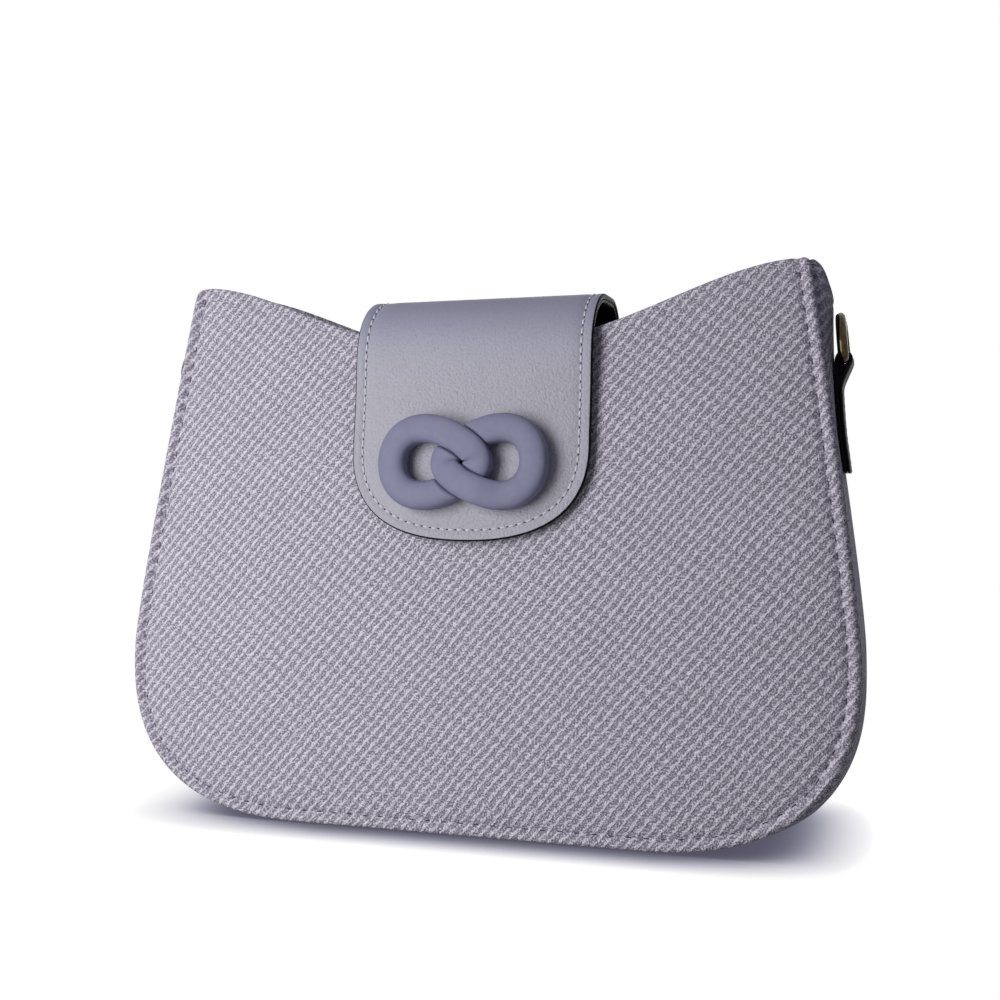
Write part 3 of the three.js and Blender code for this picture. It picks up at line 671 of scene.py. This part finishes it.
def dress(tree, shader, colour, height, depth):
    """Gives a shader its colour and its relief."""
    tree.links.new(colour, shader.inputs["Base Color"])
    node = tree.nodes.new("ShaderNodeBump")
    node.inputs["Distance"].default_value = depth * MM
    tree.links.new(height, node.inputs["Height"])
    tree.links.new(node.outputs[0], shader.inputs["Normal"])


def noise(tree, at, scale, detail=2, out=0):
    return add(tree, "TexNoise", at, None, scale, detail, out=out)


def cloth_place(tree):
    return add(tree, "UVMap", uv_map="weave")


def body_place(tree):
    """Place in millimetres in the bag's own frame."""
    return vector(tree, "SCALE", add(tree, "TexCoord", out=3), None, None, 1 / MM)


def swayed(tree, at, scale, reach, detail=1):
    """Places moved about by soft noise."""
    drift = vector(tree, "SUBTRACT", noise(tree, at, scale, detail, out=1), (0.5, 0.5, 0.5))
    return vector(tree, "MULTIPLY_ADD", drift, reach, at)


def along_wave(tree, at, wave):
    """Count of waves along a direction."""
    return vector(tree, "DOT_PRODUCT", at, wave, out=1)


def cycles(tree, count):
    """Cosine of a count of waves."""
    return calc(tree, "COSINE", calc(tree, "MULTIPLY", count, 2 * math.pi))


def twill():
    """Diagonal ribs of nubbly yarn over a speckled ground, their width beating with the floats. The ground's
    darker tone is partly painted shade in the hollows.
    """
    made, tree, shader = look("twill", 0.9, 0.15, sheen_weight=0.08, sheen_roughness=0.6)
    flat = at = cloth_place(tree)
    for scale, reach in WANDER:
        at = swayed(tree, at, scale, reach)
    beats = cycles(tree, along_wave(tree, at, FLOAT_WAVE))
    rib = calc(tree, "MULTIPLY_ADD", beats, RIB_SWING, along_wave(tree, at, RIB_WAVE))
    strong = add(tree, "MapRange", noise(tree, flat, FLOAT_SCALE, 2), 0.35, 0.65, *FLOAT_SHARE)
    wide = calc(tree, "MULTIPLY_ADD", beats, strong, cycles(tree, rib))
    nubs = add(tree, "MapRange", noise(tree, flat, NUB_SCALE, 1), 0.25, 0.75, -NUB_SHARE, NUB_SHARE)
    wide = calc(tree, "ADD", wide, nubs)
    ridge = add(tree, "MapRange", wide, *RIB_SPAN, 0, RIB_RISE, interpolation_type="SMOOTHSTEP")
    ground = calc(tree, "MULTIPLY_ADD", beats, FLOAT_RISE, ridge)
    fibre = add(tree, "MapRange", noise(tree, flat, FIBRE_SCALE, 3), 0.3, 0.7, -FIBRE_SHARE, FIBRE_SHARE)
    # colour by height: the low ground is darkened, partly painted shade in the hollows
    tone = calc(tree, "MULTIPLY_ADD", calc(tree, "ADD", ground, fibre), *WEAVE_TONE)
    colour = ramp(tree, tone, *tones(YARN_AND_HOLLOW_SHADE_TONES))
    colour = shaded(tree, colour, noise(tree, flat, FADE_SCALE, 3), *CLOTH_FADE)
    dress(tree, shader, colour, calc(tree, "MULTIPLY_ADD", fibre, FIBRE_RISE, ground), WEAVE_DEPTH)
    return made


def bend_share(tree):
    """0 where the flap bends over the mouth, rising to 1 where it lies flat."""
    along = add(tree, "SeparateXYZ", cloth_place(tree), out=1)
    away = calc(tree, "ABSOLUTE", calc(tree, "SUBTRACT", along, BEND_CREST))
    return add(tree, "MapRange", away, 0, BEND_FADE, 0, 1, interpolation_type="SMOOTHSTEP")


def grained(name, base, pebble, depth, patch, rough, shine=0.5, bends=False):
    """Leather or another grained skin: pebbles of a size, and patches of wear. If it bends, painted shade
    over the flap's bend, with smoother grain there.
    """
    made, tree, shader = look(name, rough, shine)
    at = body_place(tree)
    bent = swayed(tree, at, PEBBLE_SWAY / pebble, (pebble, pebble, pebble), detail=2)
    cells = add(tree, "TexVoronoi", bent, None, 1 / pebble, feature="SMOOTH_F1")
    fine = noise(tree, at, FINE_GRAIN / pebble, 3)
    height = calc(tree, "MULTIPLY_ADD", fine, FINE_SHARE, calc(tree, "MULTIPLY", cells, -1))
    colour = shaded(tree, linear(*base), noise(tree, at, WEAR_SCALE, 3), 1 - patch, 1 + patch)
    colour = shaded(tree, colour, cells, *PEBBLE_TONES)
    if bends:
        share = bend_share(tree)
        # painted shade over the bend, where the grain is also smoothed
        colour = vector(tree, "MULTIPLY", colour, ramp(tree, share, (0, BEND_PAINTED_SHADE), (1, (1, 1, 1))))
        height = calc(tree, "MULTIPLY", height, share)
    dress(tree, shader, colour, height, depth)
    return made


def woven(name, base, pitch, depth):
    """Plain weave on the flat cloth."""
    made, tree, shader = look(name, 0.8)
    at = vector(tree, "SCALE", cloth_place(tree), None, None, math.pi / pitch)
    across, up = [add(tree, "SeparateXYZ", at, out=part) for part in (0, 1)]
    height = calc(tree, "MULTIPLY", calc(tree, "SINE", across), calc(tree, "SINE", up))
    dress(tree, shader, shaded(tree, linear(*base), height, 0.85, 1.25), height, depth)
    return made


def metal(name, base, rough, tarnish):
    """Metal with darker tarnish in patches and fine scratches."""
    made, tree, shader = look(name, metallic=1)
    at = body_place(tree)
    colour = ramp(tree, noise(tree, at, TARNISH_SCALE, 4), *tones(zip(TARNISH_SPAN, (tarnish, base))))
    scratch = noise(tree, vector(tree, "MULTIPLY", at, SCRATCH_WAVES), 1, 2)
    worn = add(tree, "MapRange", scratch, 0.3, 0.7, rough * 0.8, rough * 1.25)
    tree.links.new(worn, shader.inputs["Roughness"])
    dress(tree, shader, colour, scratch, SCRATCH_DEPTH)
    return made


def threaded(name, base):
    """Sewing thread with its twist."""
    made, tree, shader = look(name, 0.7)
    twist = add(tree, "TexWave", body_place(tree), TWIST_SCALE, 2, 2, out=1, bands_direction="DIAGONAL")
    dress(tree, shader, shaded(tree, linear(*base), twist, 0.8, 1.1), twist, TWIST_DEPTH)
    return made


TWILL = twill()
LEATHER = grained("flap_leather", (178, 176, 186), 0.8, 0.42, 0.04, rough=0.55, shine=0.25, bends=True)
EDGE_PAINT = grained("edge_paint", (12, 12, 17), 1.4, 0.05, 0.15, rough=0.6, shine=0.06)
FLAP_LINING = grained("flap_lining", (22, 22, 30), 0.5, 0.05, 0.12, rough=0.65, shine=0.15)
BLACK_LEATHER = grained("black_leather", (16, 16, 20), 0.9, 0.05, 0.15, rough=0.65, shine=0.06)
RESIN = grained("ring_resin", (128, 128, 154), 2.2, 0.02, 0.05, rough=0.5, shine=0.18)
LINING_CLOTH = woven("lining", (44, 44, 58), 0.55, 0.1)
PALE_THREAD = threaded("pale_thread", (222, 220, 230))
HEM_THREAD = threaded("hem_thread", (150, 146, 160))
# Painted shade: the seam stitches are coloured dark for the shade in their sunk slits
SEAM_SLIT_SHADE = threaded("seam_slit_shade", (48, 44, 58))
# Black thread of the tabs' stitches, also the painted shade of the flap's needle holes
BLACK_THREAD_AND_HOLE_SHADE = threaded("black_thread_and_hole_shade", (30, 30, 36))
BRASS = metal("antique_brass", (70, 61, 44), 0.2, (38, 33, 25))
STEEL = metal("steel", (190, 190, 192), 0.25, (150, 150, 154))
MAGNET = grained("magnet", (70, 70, 72), 0.6, 0.04, 0.1, rough=0.7)
BOARD_LOOK = grained("board", (150, 142, 130), 0.7, 0.05, 0.1, rough=0.9)

for node, skin in [("stiffener", BOARD_LOOK), ("screw", STEEL), ("washer", STEEL), ("snap_magnet", MAGNET)]:
    for name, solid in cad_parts.items():
        if node in name:
            solid.data.materials.clear()
            solid.data.materials.append(skin)


# Panels, rolled edges and gusset

COVER_RINGS = [0.12, 0.35, 0.7, 1.1, 1.6, 2.2, 2.9, 3.4, 3.8, 4.2, 4.6, 5.1, 5.8, 6.8, 8.2]
COVER_NET = 3.2
COARSE_RINGS = [0.4, 1.2, 3]
COARSE_NET = 5
COVER_COLUMNS = 41
LINING_COLUMNS = 17


def ripple(x, s):
    """Soft unevenness of a stretched sheet, between about -1 and 1."""
    broad = np.sin(x / 23 + 0.7) * np.sin(s / 29 + 0.4)
    slanted = np.sin((x + s) / 15 + 1.9) * np.sin((x - s) / 34)
    return (broad + 0.6 * slanted) / 1.6


def finish_piece(piece, body, slot, *nodes):
    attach(piece, body)
    if nodes:
        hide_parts(*nodes)


def tube_piece(name, rings, looped, skin, *seat):
    """A tube through rings of points. Seat is its body, a slot that is not used, and the replaced nodes."""
    finish_piece(make(name, *tube(rings, looped), [skin]), *seat)


def beat(along, pitch):
    """1 at each stitch of a row, easing to 0 between stitches."""
    return nearness(np.abs(along / pitch - np.round(along / pitch)) * pitch, SLIT_HOLD, SLIT_EASE)


def sewn_places(line, inset, pitch):
    """Places of the stitches along a line, moved to its left, and their directions."""
    along = lengths(line)
    at = np.arange(pitch, along[-1] - pitch / 2, pitch)
    out = unit(read_off(right_of(line), along, at))
    return read_off(line, along, at) - out * inset, np.column_stack([-out[:, 1], out[:, 0]])


def panel_rise(flat, seam, mouth):
    """Share of roll, middle height, half thickness and crown of a panel at places in its plane."""
    from_seam, along_seam = nearest(flat, seam)
    from_mouth, along_mouth = nearest(flat, mouth)
    x, s = flat.T
    rolled = nearness(from_seam, ROLL_HOLD, ROLL_EASE)
    half = FABRIC / 2 + (ROLL_R - FABRIC / 2) * rolled
    middle = -FABRIC / 2 + (ROLL_STAND - ROLL_R + FABRIC / 2) * rolled
    crown = (1 - np.exp(-np.maximum(0, from_seam - SEAM_IN) / CROWN_RUN)) * (CROWN + SAG * ripple(x, s))
    crown *= 1 - (1 - MOUTH_CROWN) * np.exp(-from_mouth / MOUTH_RUN)
    crown -= SNAP_DENT * np.exp(-(np.hypot(x, s - FLAP_TIP_H - SNAP_UP) / SNAP_DENT_R) ** 2)
    for away, along, depth, between, inset, width in [
            (from_seam, along_seam, SEAM_DEPTH, SEAM_BETWEEN, SEAM_IN, SEAM_WIDTH),
            (from_mouth, along_mouth, HEM_DEPTH, HEM_BETWEEN, HEM_IN, HEM_WIDTH)]:
        pulled = between + (1 - between) * beat(along, SEAM_PITCH)
        crown -= depth * pulled * np.exp(-((away - inset) / width) ** 2)
    return rolled, middle, half, crown


def panel_cover(side, place):
    """Fabric of a panel, rolled over at its seams, and its stitches."""
    seam, mouth = panel_edges(GAP, 0)
    reaches = (CORNER_SQUARE, CORNER_ROUND) if side == "front" else (CORNER_ROUND, CORNER_SQUARE)
    outline = rounded_outline(seam, mouth, *reaches)
    flat, triangles, rim = plate(outline, COVER_RINGS, COVER_NET)
    from_rim = nearest(flat, closed(outline))[0]
    rolled, middle, half, crown = panel_rise(flat, seam, mouth)
    rise = soft_edge(from_rim / (HEM_ROUND + (ROLL_R - HEM_ROUND) * rolled))
    x, s = flat.T
    upper = place(x, s, middle + crown + half * rise)
    lower = place(x, s, middle + crown - half * rise)
    cover = shell(side + "_cover", triangles, rim, upper, lower, flat, [TWILL])
    finish_piece(cover, "body", "fabric", side + "_panel", side + "_piping")
    # the seam stitches carry the painted slit shade
    for name, line, inset, thread in [("_seam_stitches", seam, SEAM_IN, SEAM_SLIT_SHADE),
                                      ("_hem_stitches", mouth, HEM_IN, HEM_THREAD)]:
        places, along = sewn_places(line, inset, SEAM_PITCH)
        _, middle, half, crown = panel_rise(places, seam, mouth)
        ways = place(*along.T, 0) - place(0, 0, 0)
        out = np.broadcast_to(place(0, 0, 1) - place(0, 0, 0), ways.shape)
        at = place(*places.T, middle + half + crown - THREAD_SINK)
        finish_piece(stitches(side + name, at, ways, out, thread, **SEAM_THREAD), "body", "fabric")


def strip(name, depth, thick, drop, skin, columns, edge_round):
    """A layer of the gusset: one closed strip, rounded at its edges."""
    rows = np.flatnonzero(SEAM[:, 1] < PANEL_H - drop + GAP)
    across = np.sin(np.linspace(-np.pi / 2, np.pi / 2, columns))
    half = gusset_place(rows, np.array([1.0]), 0)[..., 1]
    along = SEAM_ALONG[rows][:, None]
    from_end = np.minimum(along - along[0], along[-1] - along)
    from_edge = half * (1 - np.abs(across))
    rise = soft_edge(np.minimum(from_end / HEM_ROUND, from_edge / edge_round))
    hem = HEM_DEPTH * np.exp(-((from_end - HEM_IN) / HEM_WIDTH) ** 2) if thick == FABRIC else 0
    outer = gusset_place(rows, across, depth + thick / 2 * (1 - rise) + hem)
    inner = gusset_place(rows, across, depth + thick / 2 * (1 + rise))
    sink = STRIP_CORNER * (1 - soft_edge(from_edge / STRIP_CORNER / 2)) * np.exp(-from_end / STRIP_CORNER_RUN)
    outer[..., 2] -= sink
    inner[..., 2] -= sink
    rim = np.ones(outer.shape[:2], bool)
    rim[1:-1, 1:-1] = False
    cloth = np.stack(np.broadcast_arrays(half * across, along), -1).reshape(-1, 2)
    outer, inner = outer.reshape(-1, 3), inner.reshape(-1, 3)
    made = shell(name, net_faces(*rim.shape), rim.ravel(), outer, inner, cloth, [skin])
    return made


def lining_panel(side, place):
    """Lining of a panel: slack below, drawn to the fabric at the mouth."""
    seam, mouth = panel_edges(LINING_INSET, LINING_DROP)
    outline = np.vstack([seam, mouth[1:-1]])
    flat, triangles, rim = plate(outline, COARSE_RINGS, COARSE_NET)
    from_edge = np.minimum(nearest(flat, seam)[0], nearest(flat, mouth)[0])
    crown = panel_rise(flat, *panel_edges(GAP, 0))[3]
    drawn = (crown - LINING_W - FABRIC - GAP / 2) * np.exp(-nearest(flat, mouth)[0] / LINING_DRAWN)
    x, s = flat.T
    rise = soft_edge(from_edge / LINING)
    slack = LINING_SAG * (1 + ripple(x * LINING_WAVE, s * LINING_WAVE))
    middle = LINING_W - LINING / 2 + drawn - rise * slack * (1 - np.exp(-from_edge / LINING_SAG_RUN))
    upper = place(x, s, middle + rise * LINING / 2)
    lower = place(x, s, middle - rise * LINING / 2)
    sheet = shell(side + "_lining_sheet", triangles, rim, upper, lower, flat, [LINING_CLOTH])
    finish_piece(sheet, "body", "lining", side + "_lining")


for side, place in [("front", on_front), ("back", on_back)]:
    panel_cover(side, place)
    lining_panel(side, place)

finish_piece(strip("gusset_cover", 0, FABRIC, 0, TWILL, COVER_COLUMNS, STRIP_EDGE),
             "body", "fabric", "gusset")
finish_piece(strip("gusset_lining_sheet", GUSSET_LINING, LINING, LINING_DROP, LINING_CLOTH,
                   LINING_COLUMNS, LINING), "body", "lining", "gusset_lining")


# Flap: leather with painted edges, its lining and its stitches

FLAP_RINGS = [0.12, 0.3, 0.55, 0.85, 1.2, 1.7, 2.2, 2.6, 3, 3.4, 3.8, 4.3, 5]
FLAP_NET = 2.6


def flap_layer(name, inset, low, high, groove, looks, slot, *nodes):
    """A layer of the flap between two heights over its inner face. The last look is that of its edge."""
    outline = flap_outline(inset)
    flat, triangles, rim = plate(outline, FLAP_RINGS, FLAP_NET)
    away = nearest(flat, closed(outline))[0]
    x, length = flat.T
    rise = soft_edge(away / FLAP_EDGE_ROUND, FLAP_EDGE_POWER)
    middle, half = (low + high) / 2, (high - low) / 2
    dip = groove * np.exp(-((away + inset - FLAP_STITCH_IN) / FLAP_GROOVE_WIDTH) ** 2)
    upper = flap_place(x, length, middle + rise * half - dip)
    lower = flap_place(x, length, middle - rise * half)
    edge = (away[triangles].mean(1) < FLAP_PAINT) * (len(looks) - 1)
    made = shell(name, triangles, rim, upper, lower, flat, looks, edge)
    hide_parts(*nodes)
    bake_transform(made)


flap_layer("flap_skin", 0, FLAP_INNER + GAP / 2, FLAP_T, FLAP_GROOVE, [LEATHER, EDGE_PAINT], "flap_leather",
           "flap_leather", "flap_board", "flap_anchor")
flap_layer("flap_lining_sheet", FLAP_LINING_IN, 0, FLAP_INNER, 0, [FLAP_LINING], "black_leather",
           "flap_lining")


def flap_stitches():
    """One row of stitches all round the flap, with short black bits between them as painted shade of the
    needle holes.
    """
    even = spaced(closed(flap_outline(FLAP_STITCH_IN)), FLAP_STITCH_PITCH)[:-1]
    along = unit(np.roll(even, -1, 0) - np.roll(even, 1, 0))
    low = FLAP_T - FLAP_GROOVE
    places = flap_place(*even.T, low)
    ways = unit(flap_place(*(even + along * NUDGE).T, low) - flap_place(*(even - along * NUDGE).T, low))
    out = unit(flap_place(*even.T, low + 1) - places)
    for name, thread, size in [("flap_stitches", PALE_THREAD, FLAP_THREAD),
                               ("flap_stitch_hole_shade", BLACK_THREAD_AND_HOLE_SHADE, FLAP_HOLE_SHADE)]:
        made = stitches(name, places, ways, out, thread, **size)
        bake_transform(made)
        places = places + ways * (FLAP_STITCH_PITCH / 2)


flap_stitches()


# Linked rings

LINK_ACROSS = (LINK_W - LINK_TUBE) / 2
EGG_COS = -2 * LINK_EGG / (1 + math.sqrt(1 + 8 * LINK_EGG ** 2))
LINK_TALL = (LINK_H - LINK_TUBE) / 2 / (math.sqrt(1 - EGG_COS ** 2) * (1 - LINK_EGG * EGG_COS))
LINK_CENTRE = FLAP_TIP_H + LINK_UP
LINK_FOOT = STANDOFF + FLAP_T + GAP


def eased(rows):
    """A closed row of numbers, smoothed."""
    for _ in range(CROSS_SMOOTHING):
        rows = (np.roll(rows, 1) + 2 * rows + np.roll(rows, -1)) / 4
    return rows


def link(side, way):
    """One of two egg-shaped rings: over the other at one crossing, pressed thin under it at the next."""
    angle = circle(LINK_STEPS, np.pi / LINK_STEPS)
    cos, sin = np.cos(angle), np.sin(angle)
    egg = 1 - LINK_EGG * cos
    at = np.column_stack([LINK_ACROSS * cos - LINK_PITCH / 2, LINK_TALL * sin * egg])
    out = unit(np.column_stack([LINK_TALL * (cos * egg + LINK_EGG * sin ** 2), LINK_ACROSS * sin]))
    crossing = math.acos(LINK_PITCH / 2 / LINK_ACROSS)
    from_crossing = np.degrees(np.abs(np.arctan2(np.sin(angle - crossing), np.cos(angle - crossing))))
    raised = eased(nearness(from_crossing, CROSS_HOLD, CROSS_EASE))[:, None]
    turn = circle(ROUND_SIDES)
    to_axis = (-at[:, 1] / out[:, 1])[:, None]  # the tube's inner side stops at the ring's long axis
    reach = np.maximum(LINK_TUBE / 2 * squared(np.cos(turn), 2 / LINK_SQUARE), to_axis)
    ring = at[:, None] + out[:, None] * reach[..., None]
    from_other = nearest(ring.reshape(-1, 2), -at[raised[:, 0] > 0.5])[0]
    sunk = nearness(from_other, LINK_TUBE / 2 - CROSS_SLOPE, LINK_TUBE / 2 + CROSS_SLOPE)
    low = raised * (CROSS_UNDER + GAP)
    high = LINK_T + raised * (CROSS_UNDER + GAP + CROSS_OVER - LINK_T)
    high = high - sunk.reshape(reach.shape) * (LINK_T - CROSS_UNDER)
    w = (low + high) / 2 + (high - low) / 2 * squared(np.sin(turn), 2 / LINK_SQUARE)
    rings = on_front(way * ring[..., 0], LINK_CENTRE + way * ring[..., 1], LINK_FOOT + w)
    tube_piece("link_" + side + "_body", rings, True, RESIN, "flap", "ring_resin", "link_" + side)


link("left", 1)
link("right", -1)


# Magnetic snap

SNAP_HEIGHT = FLAP_TIP_H + SNAP_UP
SOCKET_TOP = GAP + SOCKET_T
STUD_W = SOCKET_TOP + GAP
SOCKET_FLOOR = GAP + SOCKET_WALL
POCKET = SOCKET_FLOOR + GAP
SHANK_END = STANDOFF + SHANK_IN


def turned(name, corners, body, node):
    """A round steel piece of the snap from its profile of radius and height over the panel."""
    radius, w = filleted(corners, SNAP_FILLET).T[..., None]
    angle = circle(ROUND_SIDES)
    rings = on_front(radius * np.cos(angle), SNAP_HEIGHT + radius * np.sin(angle), w)
    tube_piece(name, rings, False, STEEL, body, "steel", node)


turned("snap_socket_cup", [
    (STUB, -FABRIC), (SHANK_R, -FABRIC), (SHANK_R, GAP), (SNAP_R, GAP), (SNAP_R, SOCKET_TOP),
    (STUD_R + GAP, SOCKET_TOP), (STUD_R + GAP, SOCKET_FLOOR), (STUB, SOCKET_FLOOR)], "body", "snap_socket")
turned("snap_stud_disc", [
    (STUB, POCKET), (STUD_R, POCKET), (STUD_R, STUD_W), (SNAP_R, STUD_W), (SNAP_R, STUD_W + STUD_T),
    (SHANK_R, STUD_W + STUD_T), (SHANK_R, SHANK_END), (STUB, SHANK_END)], "flap", "snap_stud")


# Strap tabs and D-rings

TAB_LOOP = PANEL_H * SLOPE_UP - TAB_DROP
TAB_FOOT = TAB_LOOP - TAB_LENGTH
LOOP_R = WIRE_R + GAP + TAB_STRAP


def gusset_reach(way, z):
    """How far out the gusset is at a height: in its middle, or at a tab's edges where it is tucked in."""
    rows = np.flatnonzero(SEAM[:, 0] * way > BASE_W / 2)[::int(way)]

    def line(y):
        points = gusset_place(rows, y / gusset_half(SEAM[rows, 1:]), 0)[:, 0]
        return np.interp(z, points[:, 2], way * points[:, 0])

    return np.maximum(line(0), line(TAB_W / 2))


def tab_reach(way, z):
    """How far out the inner face of a tab is at a height."""
    return gusset_reach(way, z) + GAP


def tab_strap(side, way):
    """A strap folded round the D-ring's bar, with both its ends down the gusset."""
    leg = np.linspace(TAB_FOOT, TAB_LOOP - TAB_NECK, 24)
    loop_x = tab_reach(way, TAB_LOOP) + LOOP_R
    inner = np.column_stack([tab_reach(way, leg) + TAB_STRAP / 2, leg])
    loop = arc((loop_x, TAB_LOOP), LOOP_R - TAB_STRAP / 2, 180, -TAB_WRAP, 24)
    outer = np.column_stack([tab_reach(way, leg) + TAB_STRAP * 1.5, leg])[::-1]
    path = spaced(np.vstack([inner, loop, outer]), FINE_STEP)
    for _ in range(TAB_SMOOTHING):
        path[1:-1] = (path[:-2] + 2 * path[1:-1] + path[2:]) / 4
    aside = right_of(path)
    turn = circle(40)
    wide = TAB_W / 2 * squared(np.cos(turn), TAB_EDGE[0])
    thin = TAB_STRAP / 2 * squared(np.sin(turn), TAB_EDGE[1])
    along = lengths(path)
    end = soft_edge((np.minimum(along, along[-1] - along) + STUB) / TAB_END_ROUND)[:, None]
    x = path[:, :1] + aside[:, :1] * thin * end
    z = path[:, 1:] + aside[:, 1:] * thin * end
    rings = np.stack([way * x, np.broadcast_to(way * wide, x.shape), z], -1)
    tube_piece("tab_" + side + "_strap", rings, False, BLACK_LEATHER, "body", "black_leather", "tab_" + side)


def tab_filler(side, way):
    """The wedge of leather between the strap's ends, below the bar."""
    hollow = arc((tab_reach(way, TAB_LOOP) + LOOP_R, TAB_LOOP), LOOP_R - TAB_STRAP, 180, 360 - TAB_WRAP, 16)
    foot = TAB_LOOP - TAB_NECK - 1
    rise = np.linspace(foot, TAB_LOOP, 8)
    back = np.column_stack([tab_reach(way, rise) + TAB_STRAP * 0.8, rise])
    wedge = np.vstack([back, hollow, [(tab_reach(way, foot) + TAB_STRAP * 1.2, foot)]])
    width = (TAB_W / 2 - FILLER_IN) * np.array([-1, -0.98, 0.98, 1])[:, None]
    middle = wedge.mean(0)
    flat = middle + (wedge - middle) * np.array([FILLER_BEVEL, 1, 1, FILLER_BEVEL])[:, None, None]
    rings = np.stack([way * flat[..., 0], np.broadcast_to(way * width, flat.shape[:2]), flat[..., 1]], -1)
    tube_piece("tab_" + side + "_filler", rings, False, BLACK_LEATHER, "body", "black_leather")


def tab_stitches(side, way):
    """A box of stitches through the tab's legs."""
    half, low, high = TAB_W / 2 - TAB_STITCH_IN, TAB_FOOT + TAB_STITCH_IN, TAB_LOOP - TAB_NECK - TAB_STITCH_IN
    box = closed(np.array([(-half, low), (half, low), (half, high), (-half, high)]))
    box = spaced(box, TAB_STITCH_PITCH)
    travel = unit(np.roll(box[:-1], -1, 0) - box[:-1])
    box = (box[:-1] + box[1:]) / 2

    def face(at):
        y, z = at.T
        return np.column_stack([way * (tab_reach(way, z) + 2 * TAB_STRAP), way * y, z])

    def heading(step):
        return unit(face(box + step) - face(box - step))

    up = heading(np.array([0, NUDGE]))
    out = unit(np.cross(np.broadcast_to([0, way, 0], up.shape), up))
    ways = heading(travel * NUDGE)
    sewn = stitches("tab_" + side + "_stitches", face(box), ways, out, BLACK_THREAD_AND_HOLE_SHADE, **TAB_THREAD)
    finish_piece(sewn, "body", "black_leather")


def d_ring(side, way):
    """A straight bar in the tab's loop and a round bow."""
    half, shoulder = RING_W / 2, RING_RISE - RING_W / 2
    corner = arc((half - RING_CORNER, RING_CORNER), RING_CORNER, -90, 0, 10)
    right = np.vstack([[(0, 0)], corner, arc((0, shoulder), half, 0, 90, 30)])
    path = spaced(np.vstack([right, right[-2::-1] * [-1, 1]]), FINE_STEP)
    aside, path = right_of_loop(path)[:-1], path[:-1]
    turn = circle(20)
    flat = path[:, None] + aside[:, None] * (WIRE_R * np.cos(turn))[:, None]
    lean = math.radians(RING_LEAN[side])
    depth = np.broadcast_to(WIRE_R * np.sin(turn), flat.shape[:2])
    x = tab_reach(way, TAB_LOOP) + LOOP_R + depth * math.cos(lean) - flat[..., 1] * math.sin(lean)
    z = TAB_LOOP + flat[..., 1] * math.cos(lean) + depth * math.sin(lean)
    node = "d_ring_" + side
    rings = np.stack([way * x, way * flat[..., 0], z], -1)
    tube_piece(node + "_wire", rings, True, BRASS, "ring_" + side, "antique_brass", node)


for side, way in [("right", 1), ("left", -1)]:
    tab_strap(side, way)
    tab_filler(side, way)
    tab_stitches(side, way)
    d_ring(side, way)


# Floor, light and camera

def rays_seen(tree):
    """1 for rays that show a thing to the eye, straight or by way of metal and glass."""
    path = tree.nodes.new("ShaderNodeLightPath").outputs
    mirrored = calc(tree, "MAXIMUM", path["Is Glossy Ray"], path["Is Transmission Ray"])
    return calc(tree, "MAXIMUM", path["Is Camera Ray"], mirrored)


def floor():
    """White ground with a soft shadow where the bag stands close to it."""
    made, tree, shader = look("floor")
    tree.nodes.remove(shader)
    seen = rays_seen(tree)
    speck = noise(tree, body_place(tree), 0.4, 2)
    free = add(tree, "AmbientOcclusion", None, SHADOW_REACH * MM, out=1, samples=16)
    shut = calc(tree, "SUBTRACT", 1, free)
    aside = add(tree, "SeparateXYZ", body_place(tree))
    aside = calc(tree, "ABSOLUTE", calc(tree, "SUBTRACT", aside, SHADOW_SHIFT))
    shut = calc(tree, "MULTIPLY", shut, add(tree, "MapRange", aside, *SHADOW_FADE, 1, SHADOW_LEFT))
    open_sky = calc(tree, "SUBTRACT", 1, shut)
    glow = add(tree, "Emission", ramp(tree, open_sky, *tones(SHADOW_TONES)), seen)
    grey = add(tree, "MapRange", seen, 0, 1, *FLOOR_GREY)
    grey = add(tree, "CombineXYZ", grey, grey, grey)
    pale = add(tree, "BsdfDiffuse", shaded(tree, grey, speck, 0.99, 1.01))
    tree.links.new(add(tree, "AddShader", pale, glow), tree.nodes["Material Output"].inputs[0])
    corners = FLOOR_SIZE / 2 * np.array([(-1, -1, 0), (1, -1, 0), (1, 1, 0), (-1, 1, 0)])
    ground = make("floor", corners, [(0, 1, 2, 3)], [made])


def sky():
    """White where it is seen, and a soft even light on everything else."""
    world = bpy.data.worlds.new("studio")
    bpy.context.scene.world = world
    world.use_nodes = True
    tree = world.node_tree
    back = tree.nodes["Background"]
    tree.links.new(ramp(tree, rays_seen(tree), (0, AMBIENT), (1, (1, 1, 1))), back.inputs[0])


def aimed(thing, place, aim):
    thing.location = Vector(place) * MM
    thing.rotation_euler = (Vector(aim) - Vector(place)).to_track_quat("-Z", "Y").to_euler()
    bpy.context.scene.collection.objects.link(thing)


def soft_box(name, place, size, power):
    lamp = bpy.data.lights.new(name, "AREA")
    lamp.shape = "RECTANGLE"
    lamp.size, lamp.size_y = size[0] * MM, size[1] * MM
    lamp.energy = power
    aimed(bpy.data.objects.new(name, lamp), place, (0, 0, PANEL_H / 2))


def camera():
    lens = bpy.data.cameras.new("camera")
    lens.sensor_width = SENSOR
    lens.lens = SENSOR * FOCAL_PX / IMAGE_PX
    lens.clip_start = 0.01
    turn, rise = math.radians(CAMERA_AZIMUTH), math.radians(CAMERA_ELEVATION)
    away = Vector((math.sin(turn) * math.cos(rise), -math.cos(turn) * math.cos(rise), math.sin(rise)))
    eye = bpy.data.objects.new("camera", lens)
    aimed(eye, Vector(CAMERA_AIM) + away * CAMERA_AWAY, CAMERA_AIM)
    bpy.context.scene.camera = eye


floor()
sky()
for name, lamp in LAMPS.items():
    soft_box(name, **lamp)
camera()
bpy.context.scene.view_settings.view_transform = "Standard"
